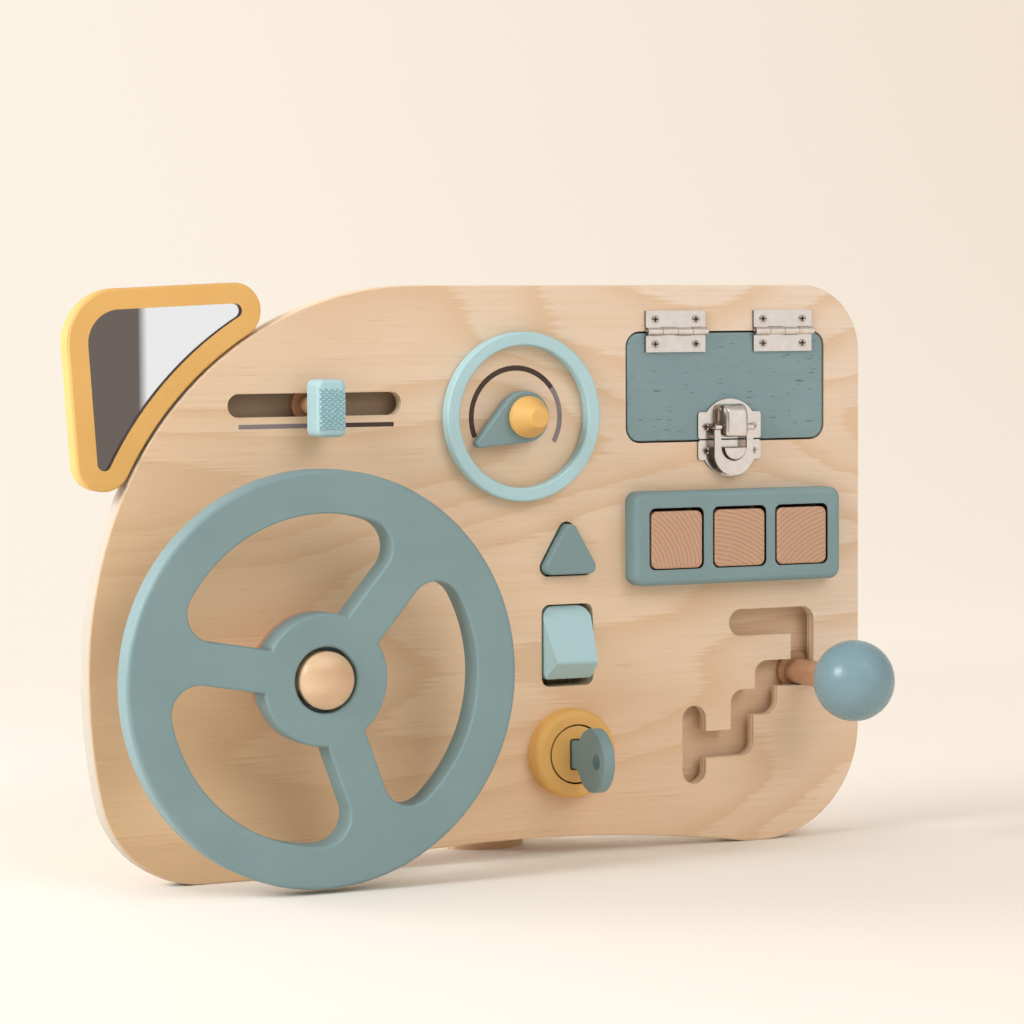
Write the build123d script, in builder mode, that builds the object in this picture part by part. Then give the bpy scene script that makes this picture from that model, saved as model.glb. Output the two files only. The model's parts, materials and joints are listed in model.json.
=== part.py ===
from build123d import *
from math import atan2, cos, degrees, hypot, radians, sin
import os

# A wooden busy board with a toy dashboard: a plywood face that stands on its lower edge and a rear
# foot, with a wheel, slider, dial, door, buttons, rocker, lock, gear lever and wing mirror.
#
# Frame, in millimetres: +X to the right of someone facing the board, +Z up. The board's front face is
# the plane Y = 0 and the player sits on the -Y side. Z = 0 is the floor, X = 0 the middle of the
# overall width. "out" in names and comments is a distance in front of the board, towards the player.

os.makedirs("parts", exist_ok=True)

# ---------------------------------------------------------------- driving dimensions
# Sandwich of boards, front to back
BOARD_T = 9.5           # front board, plywood
LIP_T = 6.0             # wood left in front of the tracks milled behind the two slots
CORE_T = 18.0           # core board behind it
BACK_T = 5.5            # back panel
CORE_INSET = 12.0       # how far the core and back stop short of the board's edge
EASE = 1.0              # rounding of the front edges of wood

# Outline of the front board
TOP = 251.0
RIGHT = 188.4
TOP_LEFT_END = -32.8    # where the flat top edge turns into the long shoulder
SHOULDER = ((147.0, 24.3), (145.0, 42.8), (189.4, 22.9))     # radius, angle of its three arcs
HEEL_R, HEEL_ANGLE, TOE_R = 255.0, 11.4, 45.8               # lower left corner
BOTTOM_RIGHT_R, TOP_RIGHT_R = 50.0, 30.0
ARCH_X, ARCH_HALF, ARCH_H = 16.0, 113.0, 8.7                # arch under the board

# Steering wheel
WHEEL_X, WHEEL_Z = -95.4, 88.6
WHEEL_R, RIM_W, WHEEL_T = 86.7, 18.1, 12.5
WHEEL_OUT = 47.0        # front face of the wheel
HUB_R, SPOKE_W, SPOKE_ANGLES = 27.6, 17.8, (50.0, 170.0, 290.0)
WINDOW_CORNER_R = 12.0
AXLE_HEAD_R, AXLE_HEAD_GAP, AXLE_R, AXLE_TIP_OUT = 12.0, 1.7, 8.0, 53.5
POST_R, SPACER_T = 16.0, 3.8

# Slider
SLOT_Z, SLOT_X0, SLOT_X1, SLOT_W = 200.6, -114.6, -44.8, 10.0
SLIDER_X = -80.5
KNOB_W, KNOB_H, KNOB_T, KNOB_OUT = 13.2, 24.2, 12.3, 20.0
KNOB_DROP = 1.1         # the knob hangs this much below its stem

# Dial
DIAL_X, DIAL_Z = 15.6, 194.0
RING_R, RING_BORE_R, RING_T, RING_EASE = 36.8, 30.9, 6.7, 1.5
POINTER_R, POINTER_TIP_R, POINTER_LENGTH, POINTER_ANGLE = 11.2, 1.8, 24.2, 207.6
POINTER_OUT, POINTER_T, DIAL_KNOB_H = 8.0, 5.0, 13.6

# Door with its hinges and latch
DOOR_X, DOOR_Z, DOOR_W, DOOR_H, DOOR_T = 119.1, 205.8, 101.6, 49.4, 9.0   # size of the opening
DOOR_CORNER_R, DOOR_GAP = 7.0, 0.8
HINGE_XS = (92.9, 147.7)
HINGE_W, HINGE_LEAF_H, HINGE_LEAF_T = 30.0, 9.2, 1.2
HINGE_Z, HINGE_OUT, KNUCKLE_R, HINGE_PIN_R = 230.4, 2.0, 1.8, 0.9
LATCH_X = 120.3

# Buttons
PANEL_X, PANEL_Z, PANEL_W, PANEL_H, PANEL_T = 120.5, 138.95, 105.2, 41.6, 10.0
PANEL_CORNER_R, PANEL_EDGE_R = 5.0, 2.8
BUTTON_X, BUTTON_Z, BUTTON_PITCH = 120.3, 138.9, 31.9
BUTTON, BUTTON_HOLE, BUTTON_CORNER_R, BUTTON_DROP = 25.4, 27.4, 3.0, 0.5
TRIANGLE_X, TRIANGLE_Z, TRIANGLE_R, TRIANGLE_CORNER_R, TRIANGLE_GAP = 38.8, 132.9, 18.8, 4.2, 1.0
TRIANGLE_OUT = 5.0
FLANGE_T, FLANGE_LIP = 3.0, 1.0

# Rocker
ROCKER_X, ROCKER_Z, ROCKER_W, ROCKER_H, ROCKER_CORNER_R = 39.1, 93.1, 25.4, 36.2, 4.0
ROCKER_PIVOT_Y, ROCKER_PIN_R = 7.0, 1.5

# Lock
LOCK_X, LOCK_Z = 39.2, 45.8
LOCK_BASE_R, LOCK_BORE_R, LOCK_T, CYLINDER_R, CYLINDER_SHANK_R = 19.6, 13.2, 8.8, 12.5, 8.0
KEY_T, KEY_HEAD_W, KEY_HEAD_H, KEY_HEAD_OUT, KEY_BLADE_H = 5.4, 27.0, 28.0, 26.5, 12.4
KEY_HEAD_DROP, KEY_HOLE_R, KEY_HOLE_OUT = 0.8, 3.4, 32.0
KEY_SLOT_W, KEY_SLOT_H = 7.1, 13.7

# Gear lever, with the corner points of its stepped slot
GEAR_PATH = ((126.5, 99.2), (158.5, 99.2), (158.5, 75.5), (139.8, 75.5), (139.8, 63.0), (127.3, 63.0),
             (127.3, 45.0), (102.5, 45.0))
GEAR_END_LEG = ((102.5, 56.8), (102.5, 33.8))
GEAR_SLOT_W, GEAR_TRACK_W = 12.2, 18.4
GEAR_X, GEAR_Z, GEAR_ROD_R = 158.5, 75.5, 5.8
BALL_R, BALL_OUT = 18.0, 45.0

# Wing mirror
MIRROR_GAP, MIRROR_BAND, MIRROR_LIP, MIRROR_T = 1.0, 8.7, 2.0, 2.0
MIRROR_TOP_LEFT, MIRROR_RIGHT_END, MIRROR_FOOT_END = (-181.3, 240.6), (-95.5, 244.4), (-176.1, 165.0)
MIRROR_CORNER_R, MIRROR_TIP_R, MIRROR_REBATE = 14.0, 3.0, 3.8

# Rear foot
FOOT_X, FOOT_W, FOOT_END, FOOT_H, FOOT_CORNER_R = 18.2, 40.0, 63.0, 14.0, 14.0
UPRIGHT_W, UPRIGHT_T, UPRIGHT_TOP = 34.0, 9.0, 72.0

# Clearances
RUN = 0.05              # radial play of a shaft or pin in its bore
FREE = 0.3              # between faces of pieces that move past each other

# Depths behind the board's face
CORE_BACK = BOARD_T + CORE_T
REAR = CORE_BACK + BACK_T

# Places of the fastenings, (x, z)
ASSEMBLY_SCREWS = ((-150, 60), (-140, 150), (-50, 226), (56, 229), (171.5, 178), (171.5, 72), (70, 28), (-60, 30))
FOOT_SCREWS = ((FOOT_X - 9, 40), (FOOT_X + 9, 58))
HINGE_SCREW_DX = 10.2
BOARD_HINGE_SCREW_Z, DOOR_HINGE_SCREW_Z = 235.8, 224.8
LATCH_SCREW_DX, LATCH_DOOR_SCREW_Z, LATCH_BOARD_SCREW_Z = 12.0, 187.6, 176.9
FITTING_HEAD_R, FITTING_SHANK_R, FITTING_LENGTH = 2.0, 1.0, 7.5
LONG_HEAD_R, LONG_SHANK_R = 3.2, 1.5


# ---------------------------------------------------------------- planes, profiles and stock parts
def face(out):
    """The plane parallel to the board's face, this far in front of it; negative is behind the face."""
    return Plane.XZ.offset(out)


def slot_profile(points, width):
    """Union of round-ended slots of one width along a line of corner points."""
    with BuildSketch() as profile:
        for (x0, z0), (x1, z1) in zip(points, points[1:]):
            with Locations(((x0 + x1) / 2, (z0 + z1) / 2)):
                turn = degrees(atan2(z1 - z0, x1 - x0))
                SlotCenterToCenter(hypot(x1 - x0, z1 - z0), width, rotation=turn)
    return profile.sketch


def gear_profile(width):
    """The gear slot: the stepped run and the short leg that crosses its lower end."""
    with BuildSketch() as profile:
        add(slot_profile(GEAR_PATH, width))
        add(slot_profile(GEAR_END_LEG, width))
    return profile.sketch


def triangle_profile(grow=0.0):
    """Round-cornered triangle of the warning button, with its sides moved out by grow."""
    with BuildSketch() as profile:
        with Locations((TRIANGLE_X, TRIANGLE_Z)):
            RegularPolygon(TRIANGLE_R + 2 * grow, 3, rotation=90)
        fillet(profile.vertices(), TRIANGLE_CORNER_R + grow)
    return profile.sketch


def screw(head_r, shank_r, length, dome=0.0, recess=1.2):
    """Countersunk screw with a cross recess. Its axis is Z and the rim of its head is at Z = 0."""
    with BuildPart() as body:
        with BuildSketch(Plane.XZ):
            with BuildLine():
                Polyline((head_r, 0), (shank_r, shank_r - head_r), (shank_r, -length), (0, -length),
                         (0, dome))
                if dome:
                    ThreePointArc((0, dome), (0.55 * head_r, 0.7 * dome), (head_r, 0))
                else:
                    Line((0, 0), (head_r, 0))
            make_face()
        revolve(axis=Axis.Z)
        with Locations((0, 0, dome)):
            Box(recess * 2, recess / 2, recess * 1.4, mode=Mode.SUBTRACT)
            Box(recess / 2, recess * 2, recess * 1.4, mode=Mode.SUBTRACT)
    return body.part


def facing_front(x, out, z):
    """Location that turns an upright Z-axis part to point at the player."""
    return Location((x, -out, z), (90, 0, 0))


def facing_back(x, y, z):
    """Location that turns an upright Z-axis part to point away from the player."""
    return Location((x, y, z), (-90, 0, 0))


def coil_spring(x, z, start, end, coil_r=5.0, wire_r=0.6, turns=4):
    """Compression spring along Y, of square-ish wire."""
    length = end - start - 2 * wire_r
    with BuildPart() as spring:
        with BuildLine() as path:
            Helix(length / turns, length, coil_r, center=(x, start + wire_r, z), direction=(0, 1, 0))
        with BuildSketch(Plane(path.line @ 0, z_dir=path.line % 0)):
            RegularPolygon(wire_r, 6)
        sweep(is_frenet=True)
    return spring.part


# ---------------------------------------------------------------- front board
toe_drop = TOE_R * (1 - sin(radians(HEEL_ANGLE)))
heel_top = HEEL_R * sin(radians(HEEL_ANGLE)) + toe_drop

with BuildSketch() as board_outline:
    with BuildLine():
        edge = Line((RIGHT - TOP_RIGHT_R, TOP), (TOP_LEFT_END, TOP))
        for radius, angle in SHOULDER:
            edge = JernArc(edge @ 1, edge % 1, radius, angle)
        edge = Line(edge @ 1, ((edge @ 1).X, heel_top))
        edge = JernArc(edge @ 1, (0, -1), HEEL_R, HEEL_ANGLE)
        edge = JernArc(edge @ 1, edge % 1, TOE_R, 90 - HEEL_ANGLE)
        edge = Line(edge @ 1, (ARCH_X - ARCH_HALF, 0))
        edge = ThreePointArc(edge @ 1, (ARCH_X, ARCH_H), (ARCH_X + ARCH_HALF, 0))
        edge = Line(edge @ 1, (RIGHT - BOTTOM_RIGHT_R, 0))
        edge = JernArc(edge @ 1, (1, 0), BOTTOM_RIGHT_R, 90)
        edge = Line(edge @ 1, (RIGHT, TOP - TOP_RIGHT_R))
        JernArc(edge @ 1, (0, 1), TOP_RIGHT_R, 90)
    make_face()

# The window of the mirror frame: two straight sides and one that follows the board's shoulder.
with BuildSketch() as mirror_window:
    with BuildLine():
        Polyline(MIRROR_TOP_LEFT, MIRROR_RIGHT_END, (MIRROR_RIGHT_END[0], MIRROR_FOOT_END[1]),
                 MIRROR_FOOT_END, close=True)
    make_face()
    fillet(vertices().sort_by_distance((*MIRROR_TOP_LEFT, 0))[0], MIRROR_CORNER_R)
    add(offset(board_outline.sketch, MIRROR_GAP + MIRROR_BAND, mode=Mode.PRIVATE), mode=Mode.SUBTRACT)
    # Moving the edge in and out again rounds the two sharp tips.
    offset(amount=-MIRROR_TIP_R, mode=Mode.REPLACE)
    offset(amount=MIRROR_TIP_R, kind=Kind.ARC, mode=Mode.REPLACE)

# Two dowels join frame and board across the gap, square to the shoulder's middle arc.
DOWEL_R, DOWEL_LENGTH, DOWEL_Y = 1.75, 14.0, 6.4
shoulder_x = TOP_LEFT_END - SHOULDER[0][0] * sin(radians(SHOULDER[0][1]))
shoulder_z = TOP - SHOULDER[0][0] * (1 - cos(radians(SHOULDER[0][1])))
middle_r = SHOULDER[1][0]
middle_x = shoulder_x + middle_r * sin(radians(SHOULDER[0][1]))
middle_z = shoulder_z - middle_r * cos(radians(SHOULDER[0][1]))


def mirror_dowels(grow):
    """The pair of dowels, or their holes, grown by this much in radius and at each end."""
    with BuildPart() as pair:
        for angle in (132.0, 147.0):
            along = Vector(cos(radians(angle)), 0, sin(radians(angle)))
            middle = Vector(middle_x, DOWEL_Y, middle_z) + along * (middle_r - 2.5)
            with BuildSketch(Plane(middle, z_dir=along)):
                Circle(DOWEL_R + grow)
            extrude(amount=DOWEL_LENGTH / 2 + grow, both=True)
    return pair.part


with BuildPart() as front_board:
    with BuildSketch(face(0)):
        add(board_outline.sketch)
    extrude(amount=-BOARD_T)
    fillet(front_board.faces().sort_by(Axis.Y)[0].outer_wire().edges(), EASE)
    with BuildSketch(face(0)):
        with Locations((DOOR_X, DOOR_Z)):
            RectangleRounded(DOOR_W, DOOR_H, DOOR_CORNER_R)
        with Locations((BUTTON_X, BUTTON_Z)), GridLocations(BUTTON_PITCH, 0, 3, 1):
            RectangleRounded(BUTTON_HOLE, BUTTON_HOLE, BUTTON_CORNER_R)
        with Locations((ROCKER_X, ROCKER_Z)):
            RectangleRounded(ROCKER_W, ROCKER_H, ROCKER_CORNER_R)
        add(triangle_profile())
        add(gear_profile(GEAR_SLOT_W))
        add(slot_profile(((SLOT_X0, SLOT_Z), (SLOT_X1, SLOT_Z)), SLOT_W))
        with Locations((WHEEL_X, WHEEL_Z)):
            Circle(AXLE_R + RUN)
        with Locations((LOCK_X, LOCK_Z)):
            Circle(CYLINDER_SHANK_R + RUN)
        with Locations((DIAL_X, DIAL_Z)):
            Circle(3.0 + RUN)
    extrude(amount=-BOARD_T, mode=Mode.SUBTRACT)
    # The tracks behind the two slots, where the retaining discs run.
    with BuildSketch(face(-LIP_T)):
        add(gear_profile(GEAR_TRACK_W))
        add(slot_profile(((SLOT_X0, SLOT_Z), (SLOT_X1, SLOT_Z)), SLOT_W + 7.4))
    extrude(amount=LIP_T - BOARD_T, mode=Mode.SUBTRACT)
    # Pilot holes of the hinge and latch screws.
    with BuildSketch(face(0)):
        with Locations(*[(x + dx, BOARD_HINGE_SCREW_Z) for x in HINGE_XS
                         for dx in (-HINGE_SCREW_DX, HINGE_SCREW_DX)]):
            Circle(FITTING_SHANK_R + RUN)
        with Locations(*[(LATCH_X + dx, LATCH_BOARD_SCREW_Z) for dx in (-LATCH_SCREW_DX, LATCH_SCREW_DX)]):
            Circle(FITTING_SHANK_R + RUN)
    extrude(amount=-FITTING_LENGTH, mode=Mode.SUBTRACT)
    with BuildSketch(face(-BOARD_T)):
        with Locations(*ASSEMBLY_SCREWS):
            Circle(LONG_SHANK_R + RUN)
    extrude(amount=4.5, mode=Mode.SUBTRACT)
    # The rocker's pin lies in a blind cross hole.
    with BuildSketch(Plane.YZ.offset(ROCKER_X)):
        with Locations((ROCKER_PIVOT_Y, ROCKER_Z)):
            Circle(ROCKER_PIN_R + RUN)
    extrude(amount=ROCKER_W / 2 + 6, both=True, mode=Mode.SUBTRACT)
    add(mirror_dowels(RUN), mode=Mode.SUBTRACT)
front_board.part.label = "front_board"
export_step(front_board.part, "parts/front_board.step")

# ---------------------------------------------------------------- core, back panel, screws, foot
with BuildSketch() as core_outline:
    offset(board_outline.sketch, -CORE_INSET)

LEDGE = 3.5                     # rest behind the edge of the door
GAUGE_POCKET_R, LOCK_POCKET_R = 8.0, 14.5
GAUGE_POCKET_T, LOCK_POCKET_T, AXLE_BORE_T = 5.0, 8.0, 15.0

with BuildPart() as core_board:
    with BuildSketch(face(-BOARD_T)):
        add(core_outline.sketch)
        with Locations((DOOR_X, DOOR_Z)):
            RectangleRounded(DOOR_W - 2 * LEDGE, DOOR_H - 2 * LEDGE, DOOR_CORNER_R - LEDGE,
                             mode=Mode.SUBTRACT)
        with Locations((BUTTON_X, BUTTON_Z)), GridLocations(BUTTON_PITCH, 0, 3, 1):
            RectangleRounded(BUTTON_HOLE + 2.8, BUTTON_HOLE + 2.8, BUTTON_CORNER_R, mode=Mode.SUBTRACT)
        with Locations((ROCKER_X, ROCKER_Z)):
            RectangleRounded(ROCKER_W + 2, ROCKER_H + 3, ROCKER_CORNER_R, mode=Mode.SUBTRACT)
        add(triangle_profile(2.0), mode=Mode.SUBTRACT)
        with Locations(*ASSEMBLY_SCREWS):
            Circle(LONG_SHANK_R + RUN, mode=Mode.SUBTRACT)
        with Locations((WHEEL_X, WHEEL_Z)):
            Circle(LONG_SHANK_R + RUN, mode=Mode.SUBTRACT)
    extrude(amount=-CORE_T)
    for x, z, radius, depth in ((DIAL_X, DIAL_Z, GAUGE_POCKET_R, GAUGE_POCKET_T),
                                (LOCK_X, LOCK_Z, LOCK_POCKET_R, LOCK_POCKET_T),
                                (WHEEL_X, WHEEL_Z, AXLE_R + RUN, AXLE_BORE_T)):
        with BuildSketch(face(-BOARD_T)):
            with Locations((x, z)):
                Circle(radius)
        extrude(amount=-depth, mode=Mode.SUBTRACT)
    with BuildSketch(face(-CORE_BACK)):
        with Locations(*FOOT_SCREWS):
            Circle(LONG_SHANK_R + RUN)
    extrude(amount=8.0, mode=Mode.SUBTRACT)
core_board.part.label = "core_board"
export_step(core_board.part, "parts/core_board.step")

with BuildPart() as back_panel:
    with BuildSketch(face(-CORE_BACK)):
        add(core_outline.sketch)
        with Locations(*FOOT_SCREWS):
            Circle(LONG_SHANK_R + RUN, mode=Mode.SUBTRACT)
    extrude(amount=-BACK_T)
    fillet(back_panel.faces().sort_by(Axis.Y)[-1].outer_wire().edges(), EASE)
    with Locations(*[facing_back(x, REAR, z) for x, z in (*ASSEMBLY_SCREWS, (WHEEL_X, WHEEL_Z))]):
        CounterSinkHole(LONG_SHANK_R + RUN, LONG_HEAD_R + RUN, depth=BACK_T, counter_sink_angle=90)
back_panel.part.label = "back_panel"
export_step(back_panel.part, "parts/back_panel.step")

with BuildPart() as assembly_screws:
    with Locations(*[facing_back(x, REAR, z) for x, z in ASSEMBLY_SCREWS]):
        add(screw(LONG_HEAD_R, LONG_SHANK_R, REAR - BOARD_T + 4.0, recess=1.8))
assembly_screws.part.label = "assembly_screws"
export_step(assembly_screws.part, "parts/assembly_screws.step")

with BuildPart() as foot_upright:
    with BuildSketch(face(-REAR)):
        with Locations((FOOT_X, (FOOT_H + UPRIGHT_TOP) / 2)):
            Rectangle(UPRIGHT_W, UPRIGHT_TOP - FOOT_H)
    extrude(amount=-UPRIGHT_T)
    fillet(foot_upright.edges().filter_by(Axis.Y).group_by(Axis.Z)[-1], 8.0)
    fillet(foot_upright.faces().sort_by(Axis.Y)[-1].edges().filter_by(lambda e: e.center().Z > FOOT_H + 1),
           EASE)
    with Locations(*[facing_back(x, REAR + UPRIGHT_T, z) for x, z in FOOT_SCREWS]):
        CounterSinkHole(LONG_SHANK_R + RUN, LONG_HEAD_R + RUN, depth=UPRIGHT_T, counter_sink_angle=90)
    with Locations(*[(FOOT_X + dx, REAR + UPRIGHT_T / 2, FOOT_H) for dx in (-9, 9)]):
        Cylinder(LONG_SHANK_R + RUN, 36.0, mode=Mode.SUBTRACT)
foot_upright.part.label = "foot_upright"
export_step(foot_upright.part, "parts/foot_upright.step")

with BuildPart() as foot_sole:
    with BuildSketch():
        with Locations((FOOT_X, (REAR + FOOT_END) / 2)):
            Rectangle(FOOT_W, FOOT_END - REAR)
        fillet(vertices().group_by(Axis.Y)[0], FOOT_CORNER_R)
        fillet(vertices().group_by(Axis.Y)[-1], FOOT_CORNER_R / 2)
    extrude(amount=FOOT_H)
    fillet(foot_sole.faces().sort_by(Axis.Z)[-1].edges(), EASE)
    with Locations(*[Location((FOOT_X + dx, REAR + UPRIGHT_T / 2, 0.6), (180, 0, 0)) for dx in (-9, 9)]):
        CounterSinkHole(LONG_SHANK_R + RUN, LONG_HEAD_R + RUN, depth=FOOT_H, counter_sink_angle=90)
foot_sole.part.label = "foot_sole"
export_step(foot_sole.part, "parts/foot_sole.step")

with BuildPart() as foot_screws:
    with Locations(*[facing_back(x, REAR + UPRIGHT_T, z) for x, z in FOOT_SCREWS]):
        add(screw(LONG_HEAD_R, LONG_SHANK_R, 20.0, recess=1.8))
    with Locations(*[Location((FOOT_X + dx, REAR + UPRIGHT_T / 2, 0.6), (180, 0, 0)) for dx in (-9, 9)]):
        add(screw(LONG_HEAD_R, LONG_SHANK_R, 20.0, recess=1.8))
foot_screws.part.label = "foot_screws"
export_step(foot_screws.part, "parts/foot_screws.step")

# ---------------------------------------------------------------- wing mirror
with BuildSketch() as mirror_rebate:
    offset(mirror_window.sketch, MIRROR_REBATE)

with BuildPart() as mirror_frame:
    with BuildSketch(face(0)):
        offset(mirror_window.sketch, MIRROR_BAND)
    extrude(amount=-BOARD_T)
    fillet(mirror_frame.faces().sort_by(Axis.Y)[0].outer_wire().edges(), EASE)
    with BuildSketch(face(0)):
        add(mirror_window.sketch)
    extrude(amount=-MIRROR_LIP, mode=Mode.SUBTRACT)
    with BuildSketch(face(-MIRROR_LIP)):
        add(mirror_rebate.sketch)
    extrude(amount=MIRROR_LIP - BOARD_T, mode=Mode.SUBTRACT)
    add(mirror_dowels(RUN), mode=Mode.SUBTRACT)
mirror_frame.part.label = "mirror_frame"
export_step(mirror_frame.part, "parts/mirror_frame.step")

with BuildPart() as mirror_glass:
    with BuildSketch(face(-MIRROR_LIP)):
        offset(mirror_window.sketch, MIRROR_REBATE - FREE)
    extrude(amount=-MIRROR_T)
mirror_glass.part.label = "mirror_glass"
export_step(mirror_glass.part, "parts/mirror_glass.step")

with BuildPart() as mirror_back:
    with BuildSketch(face(-MIRROR_LIP - MIRROR_T)):
        offset(mirror_window.sketch, MIRROR_REBATE - FREE)
    extrude(amount=MIRROR_LIP + MIRROR_T - BOARD_T)
mirror_back.part.label = "mirror_back"
export_step(mirror_back.part, "parts/mirror_back.step")

dowels = mirror_dowels(0.0)
dowels.label = "mirror_dowels"
export_step(dowels, "parts/mirror_dowels.step")

# ---------------------------------------------------------------- steering wheel and its axle
WEB_T = 5.0                                      # wood left behind the hub's counterbore
wheel_back = WHEEL_OUT - WHEEL_T
window_r = WHEEL_R - RIM_W

with BuildPart() as steering_wheel:
    with BuildSketch(face(wheel_back)) as wheel_profile:
        with Locations((WHEEL_X, WHEEL_Z)):
            Circle(WHEEL_R)
    extrude(amount=WHEEL_T)
    fillet(steering_wheel.edges().filter_by(GeomType.CIRCLE), 2.0)
    with BuildSketch(face(wheel_back)) as windows:
        with Locations((WHEEL_X, WHEEL_Z)):
            Circle(window_r)
            Circle(HUB_R, mode=Mode.SUBTRACT)
            for angle in SPOKE_ANGLES:
                with Locations(Location((0, 0), angle)), Locations((window_r / 2, 0)):
                    Rectangle(window_r + 4, SPOKE_W, mode=Mode.SUBTRACT)
        hub = Vector(WHEEL_X, WHEEL_Z)
        fillet([v for v in vertices() if (Vector(v.X, v.Y) - hub).length > HUB_R + 10], WINDOW_CORNER_R)
    extrude(amount=WHEEL_T, mode=Mode.SUBTRACT)
    with BuildSketch(face(wheel_back)):
        with Locations((WHEEL_X, WHEEL_Z)):
            Circle(AXLE_R + RUN)
    extrude(amount=WHEEL_T, mode=Mode.SUBTRACT)
    with BuildSketch(face(wheel_back + WEB_T)):
        with Locations((WHEEL_X, WHEEL_Z)):
            Circle(AXLE_HEAD_R + AXLE_HEAD_GAP)
    extrude(amount=WHEEL_T, mode=Mode.SUBTRACT)
    front_rims = steering_wheel.faces().sort_by(Axis.Y)[0].inner_wires()
    fillet([e for wire in front_rims for e in wire.edges()], 1.2)
steering_wheel.part.label = "steering_wheel"
export_step(steering_wheel.part, "parts/steering_wheel.step")

with BuildPart() as wheel_spacer:
    with BuildSketch(face(wheel_back - 0.4)):
        with Locations((WHEEL_X, WHEEL_Z)):
            Circle(HUB_R)
            Circle(AXLE_R + RUN, mode=Mode.SUBTRACT)
    extrude(amount=-SPACER_T)
    fillet(wheel_spacer.edges().filter_by(GeomType.CIRCLE).group_by(SortBy.RADIUS)[-1], EASE)
wheel_spacer.part.label = "wheel_spacer"
export_step(wheel_spacer.part, "parts/wheel_spacer.step")

with BuildPart() as wheel_post:
    with BuildSketch(face(0)):
        with Locations((WHEEL_X, WHEEL_Z)):
            Circle(POST_R)
            Circle(AXLE_R + RUN, mode=Mode.SUBTRACT)
    extrude(amount=wheel_back - 0.4 - SPACER_T)
wheel_post.part.label = "wheel_post"
export_step(wheel_post.part, "parts/wheel_post.step")

# The axle is one turned piece: a domed head in the hub's counterbore and a shank down to the core.
AXLE_END = BOARD_T + AXLE_BORE_T - 0.5
head_back = wheel_back + WEB_T + FREE
head_rim = AXLE_TIP_OUT - 5.5

with BuildPart() as wheel_axle:
    with BuildSketch(Plane.YZ.offset(WHEEL_X)):
        with BuildLine():
            Line((AXLE_END, WHEEL_Z), (-AXLE_TIP_OUT, WHEEL_Z))
            dome = ThreePointArc((-AXLE_TIP_OUT, WHEEL_Z), (-AXLE_TIP_OUT + 1.4, WHEEL_Z + 6.9),
                                 (-head_rim, WHEEL_Z + AXLE_HEAD_R))
            Polyline(dome @ 1, (-head_back, WHEEL_Z + AXLE_HEAD_R), (-head_back, WHEEL_Z + AXLE_R),
                     (AXLE_END, WHEEL_Z + AXLE_R), (AXLE_END, WHEEL_Z))
        make_face()
        fillet(vertices().sort_by_distance((-head_rim, WHEEL_Z + AXLE_HEAD_R, 0))[0], 1.5)
    revolve(axis=Axis((WHEEL_X, 0, WHEEL_Z), (0, 1, 0)))
    with Locations(facing_back(WHEEL_X, AXLE_END, WHEEL_Z)):
        Hole(LONG_SHANK_R + RUN, depth=14.0)
wheel_axle.part.label = "wheel_axle"
export_step(wheel_axle.part, "parts/wheel_axle.step")

with BuildPart() as axle_screw:
    with Locations(facing_back(WHEEL_X, REAR, WHEEL_Z)):
        add(screw(LONG_HEAD_R, LONG_SHANK_R, REAR - AXLE_END + 12.0, recess=1.8))
axle_screw.part.label = "axle_screw"
export_step(axle_screw.part, "parts/axle_screw.step")

# ---------------------------------------------------------------- slider and gear lever
# Both run in a slot on a round stem, kept in by a disc in the track behind the lip.
DISC_FRONT, DISC_BACK = LIP_T + FREE, BOARD_T - FREE
SLIDER_STEM_R, SLIDER_DISC_R, GEAR_DISC_R = 4.2, 7.5, 8.5


def track_disc(x, z, radius):
    """Disc behind the lip, countersunk for the screw that holds it to the stem's end."""
    with BuildPart() as disc:
        with BuildSketch(face(-DISC_FRONT)):
            with Locations((x, z)):
                Circle(radius)
        extrude(amount=DISC_FRONT - DISC_BACK)
        with Locations(facing_back(x, DISC_BACK, z)):
            CounterSinkHole(FITTING_SHANK_R + RUN, FITTING_HEAD_R + RUN, depth=DISC_BACK - DISC_FRONT,
                            counter_sink_angle=90)
    return disc.part


def stem(x, z, radius, out):
    """Dowel from the track disc to its knob, with a pilot hole for the disc's screw."""
    with BuildPart() as dowel:
        with BuildSketch(face(-DISC_FRONT)):
            with Locations((x, z)):
                Circle(radius)
        extrude(amount=DISC_FRONT + out)
        with Locations(facing_back(x, DISC_FRONT, z)):
            Hole(FITTING_SHANK_R + RUN, depth=FITTING_LENGTH)
    return dowel.part


slider_stem_out = KNOB_OUT - KNOB_T + 6.0
gear_rod_out = BALL_OUT - BALL_R + 10.0
for name, part in (("slider_retainer", track_disc(SLIDER_X, SLOT_Z, SLIDER_DISC_R)),
                   ("slider_stem", stem(SLIDER_X, SLOT_Z, SLIDER_STEM_R, slider_stem_out)),
                   ("gear_retainer", track_disc(GEAR_X, GEAR_Z, GEAR_DISC_R)),
                   ("gear_rod", stem(GEAR_X, GEAR_Z, GEAR_ROD_R, gear_rod_out))):
    part.label = name
    export_step(part, f"parts/{name}.step")

for name, x, z in (("slider_screw", SLIDER_X, SLOT_Z), ("gear_screw", GEAR_X, GEAR_Z)):
    with BuildPart() as retaining_screw:
        with Locations(facing_back(x, DISC_BACK, z)):
            add(screw(FITTING_HEAD_R, FITTING_SHANK_R, FITTING_LENGTH))
    retaining_screw.part.label = name
    export_step(retaining_screw.part, f"parts/{name}.step")

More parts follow.
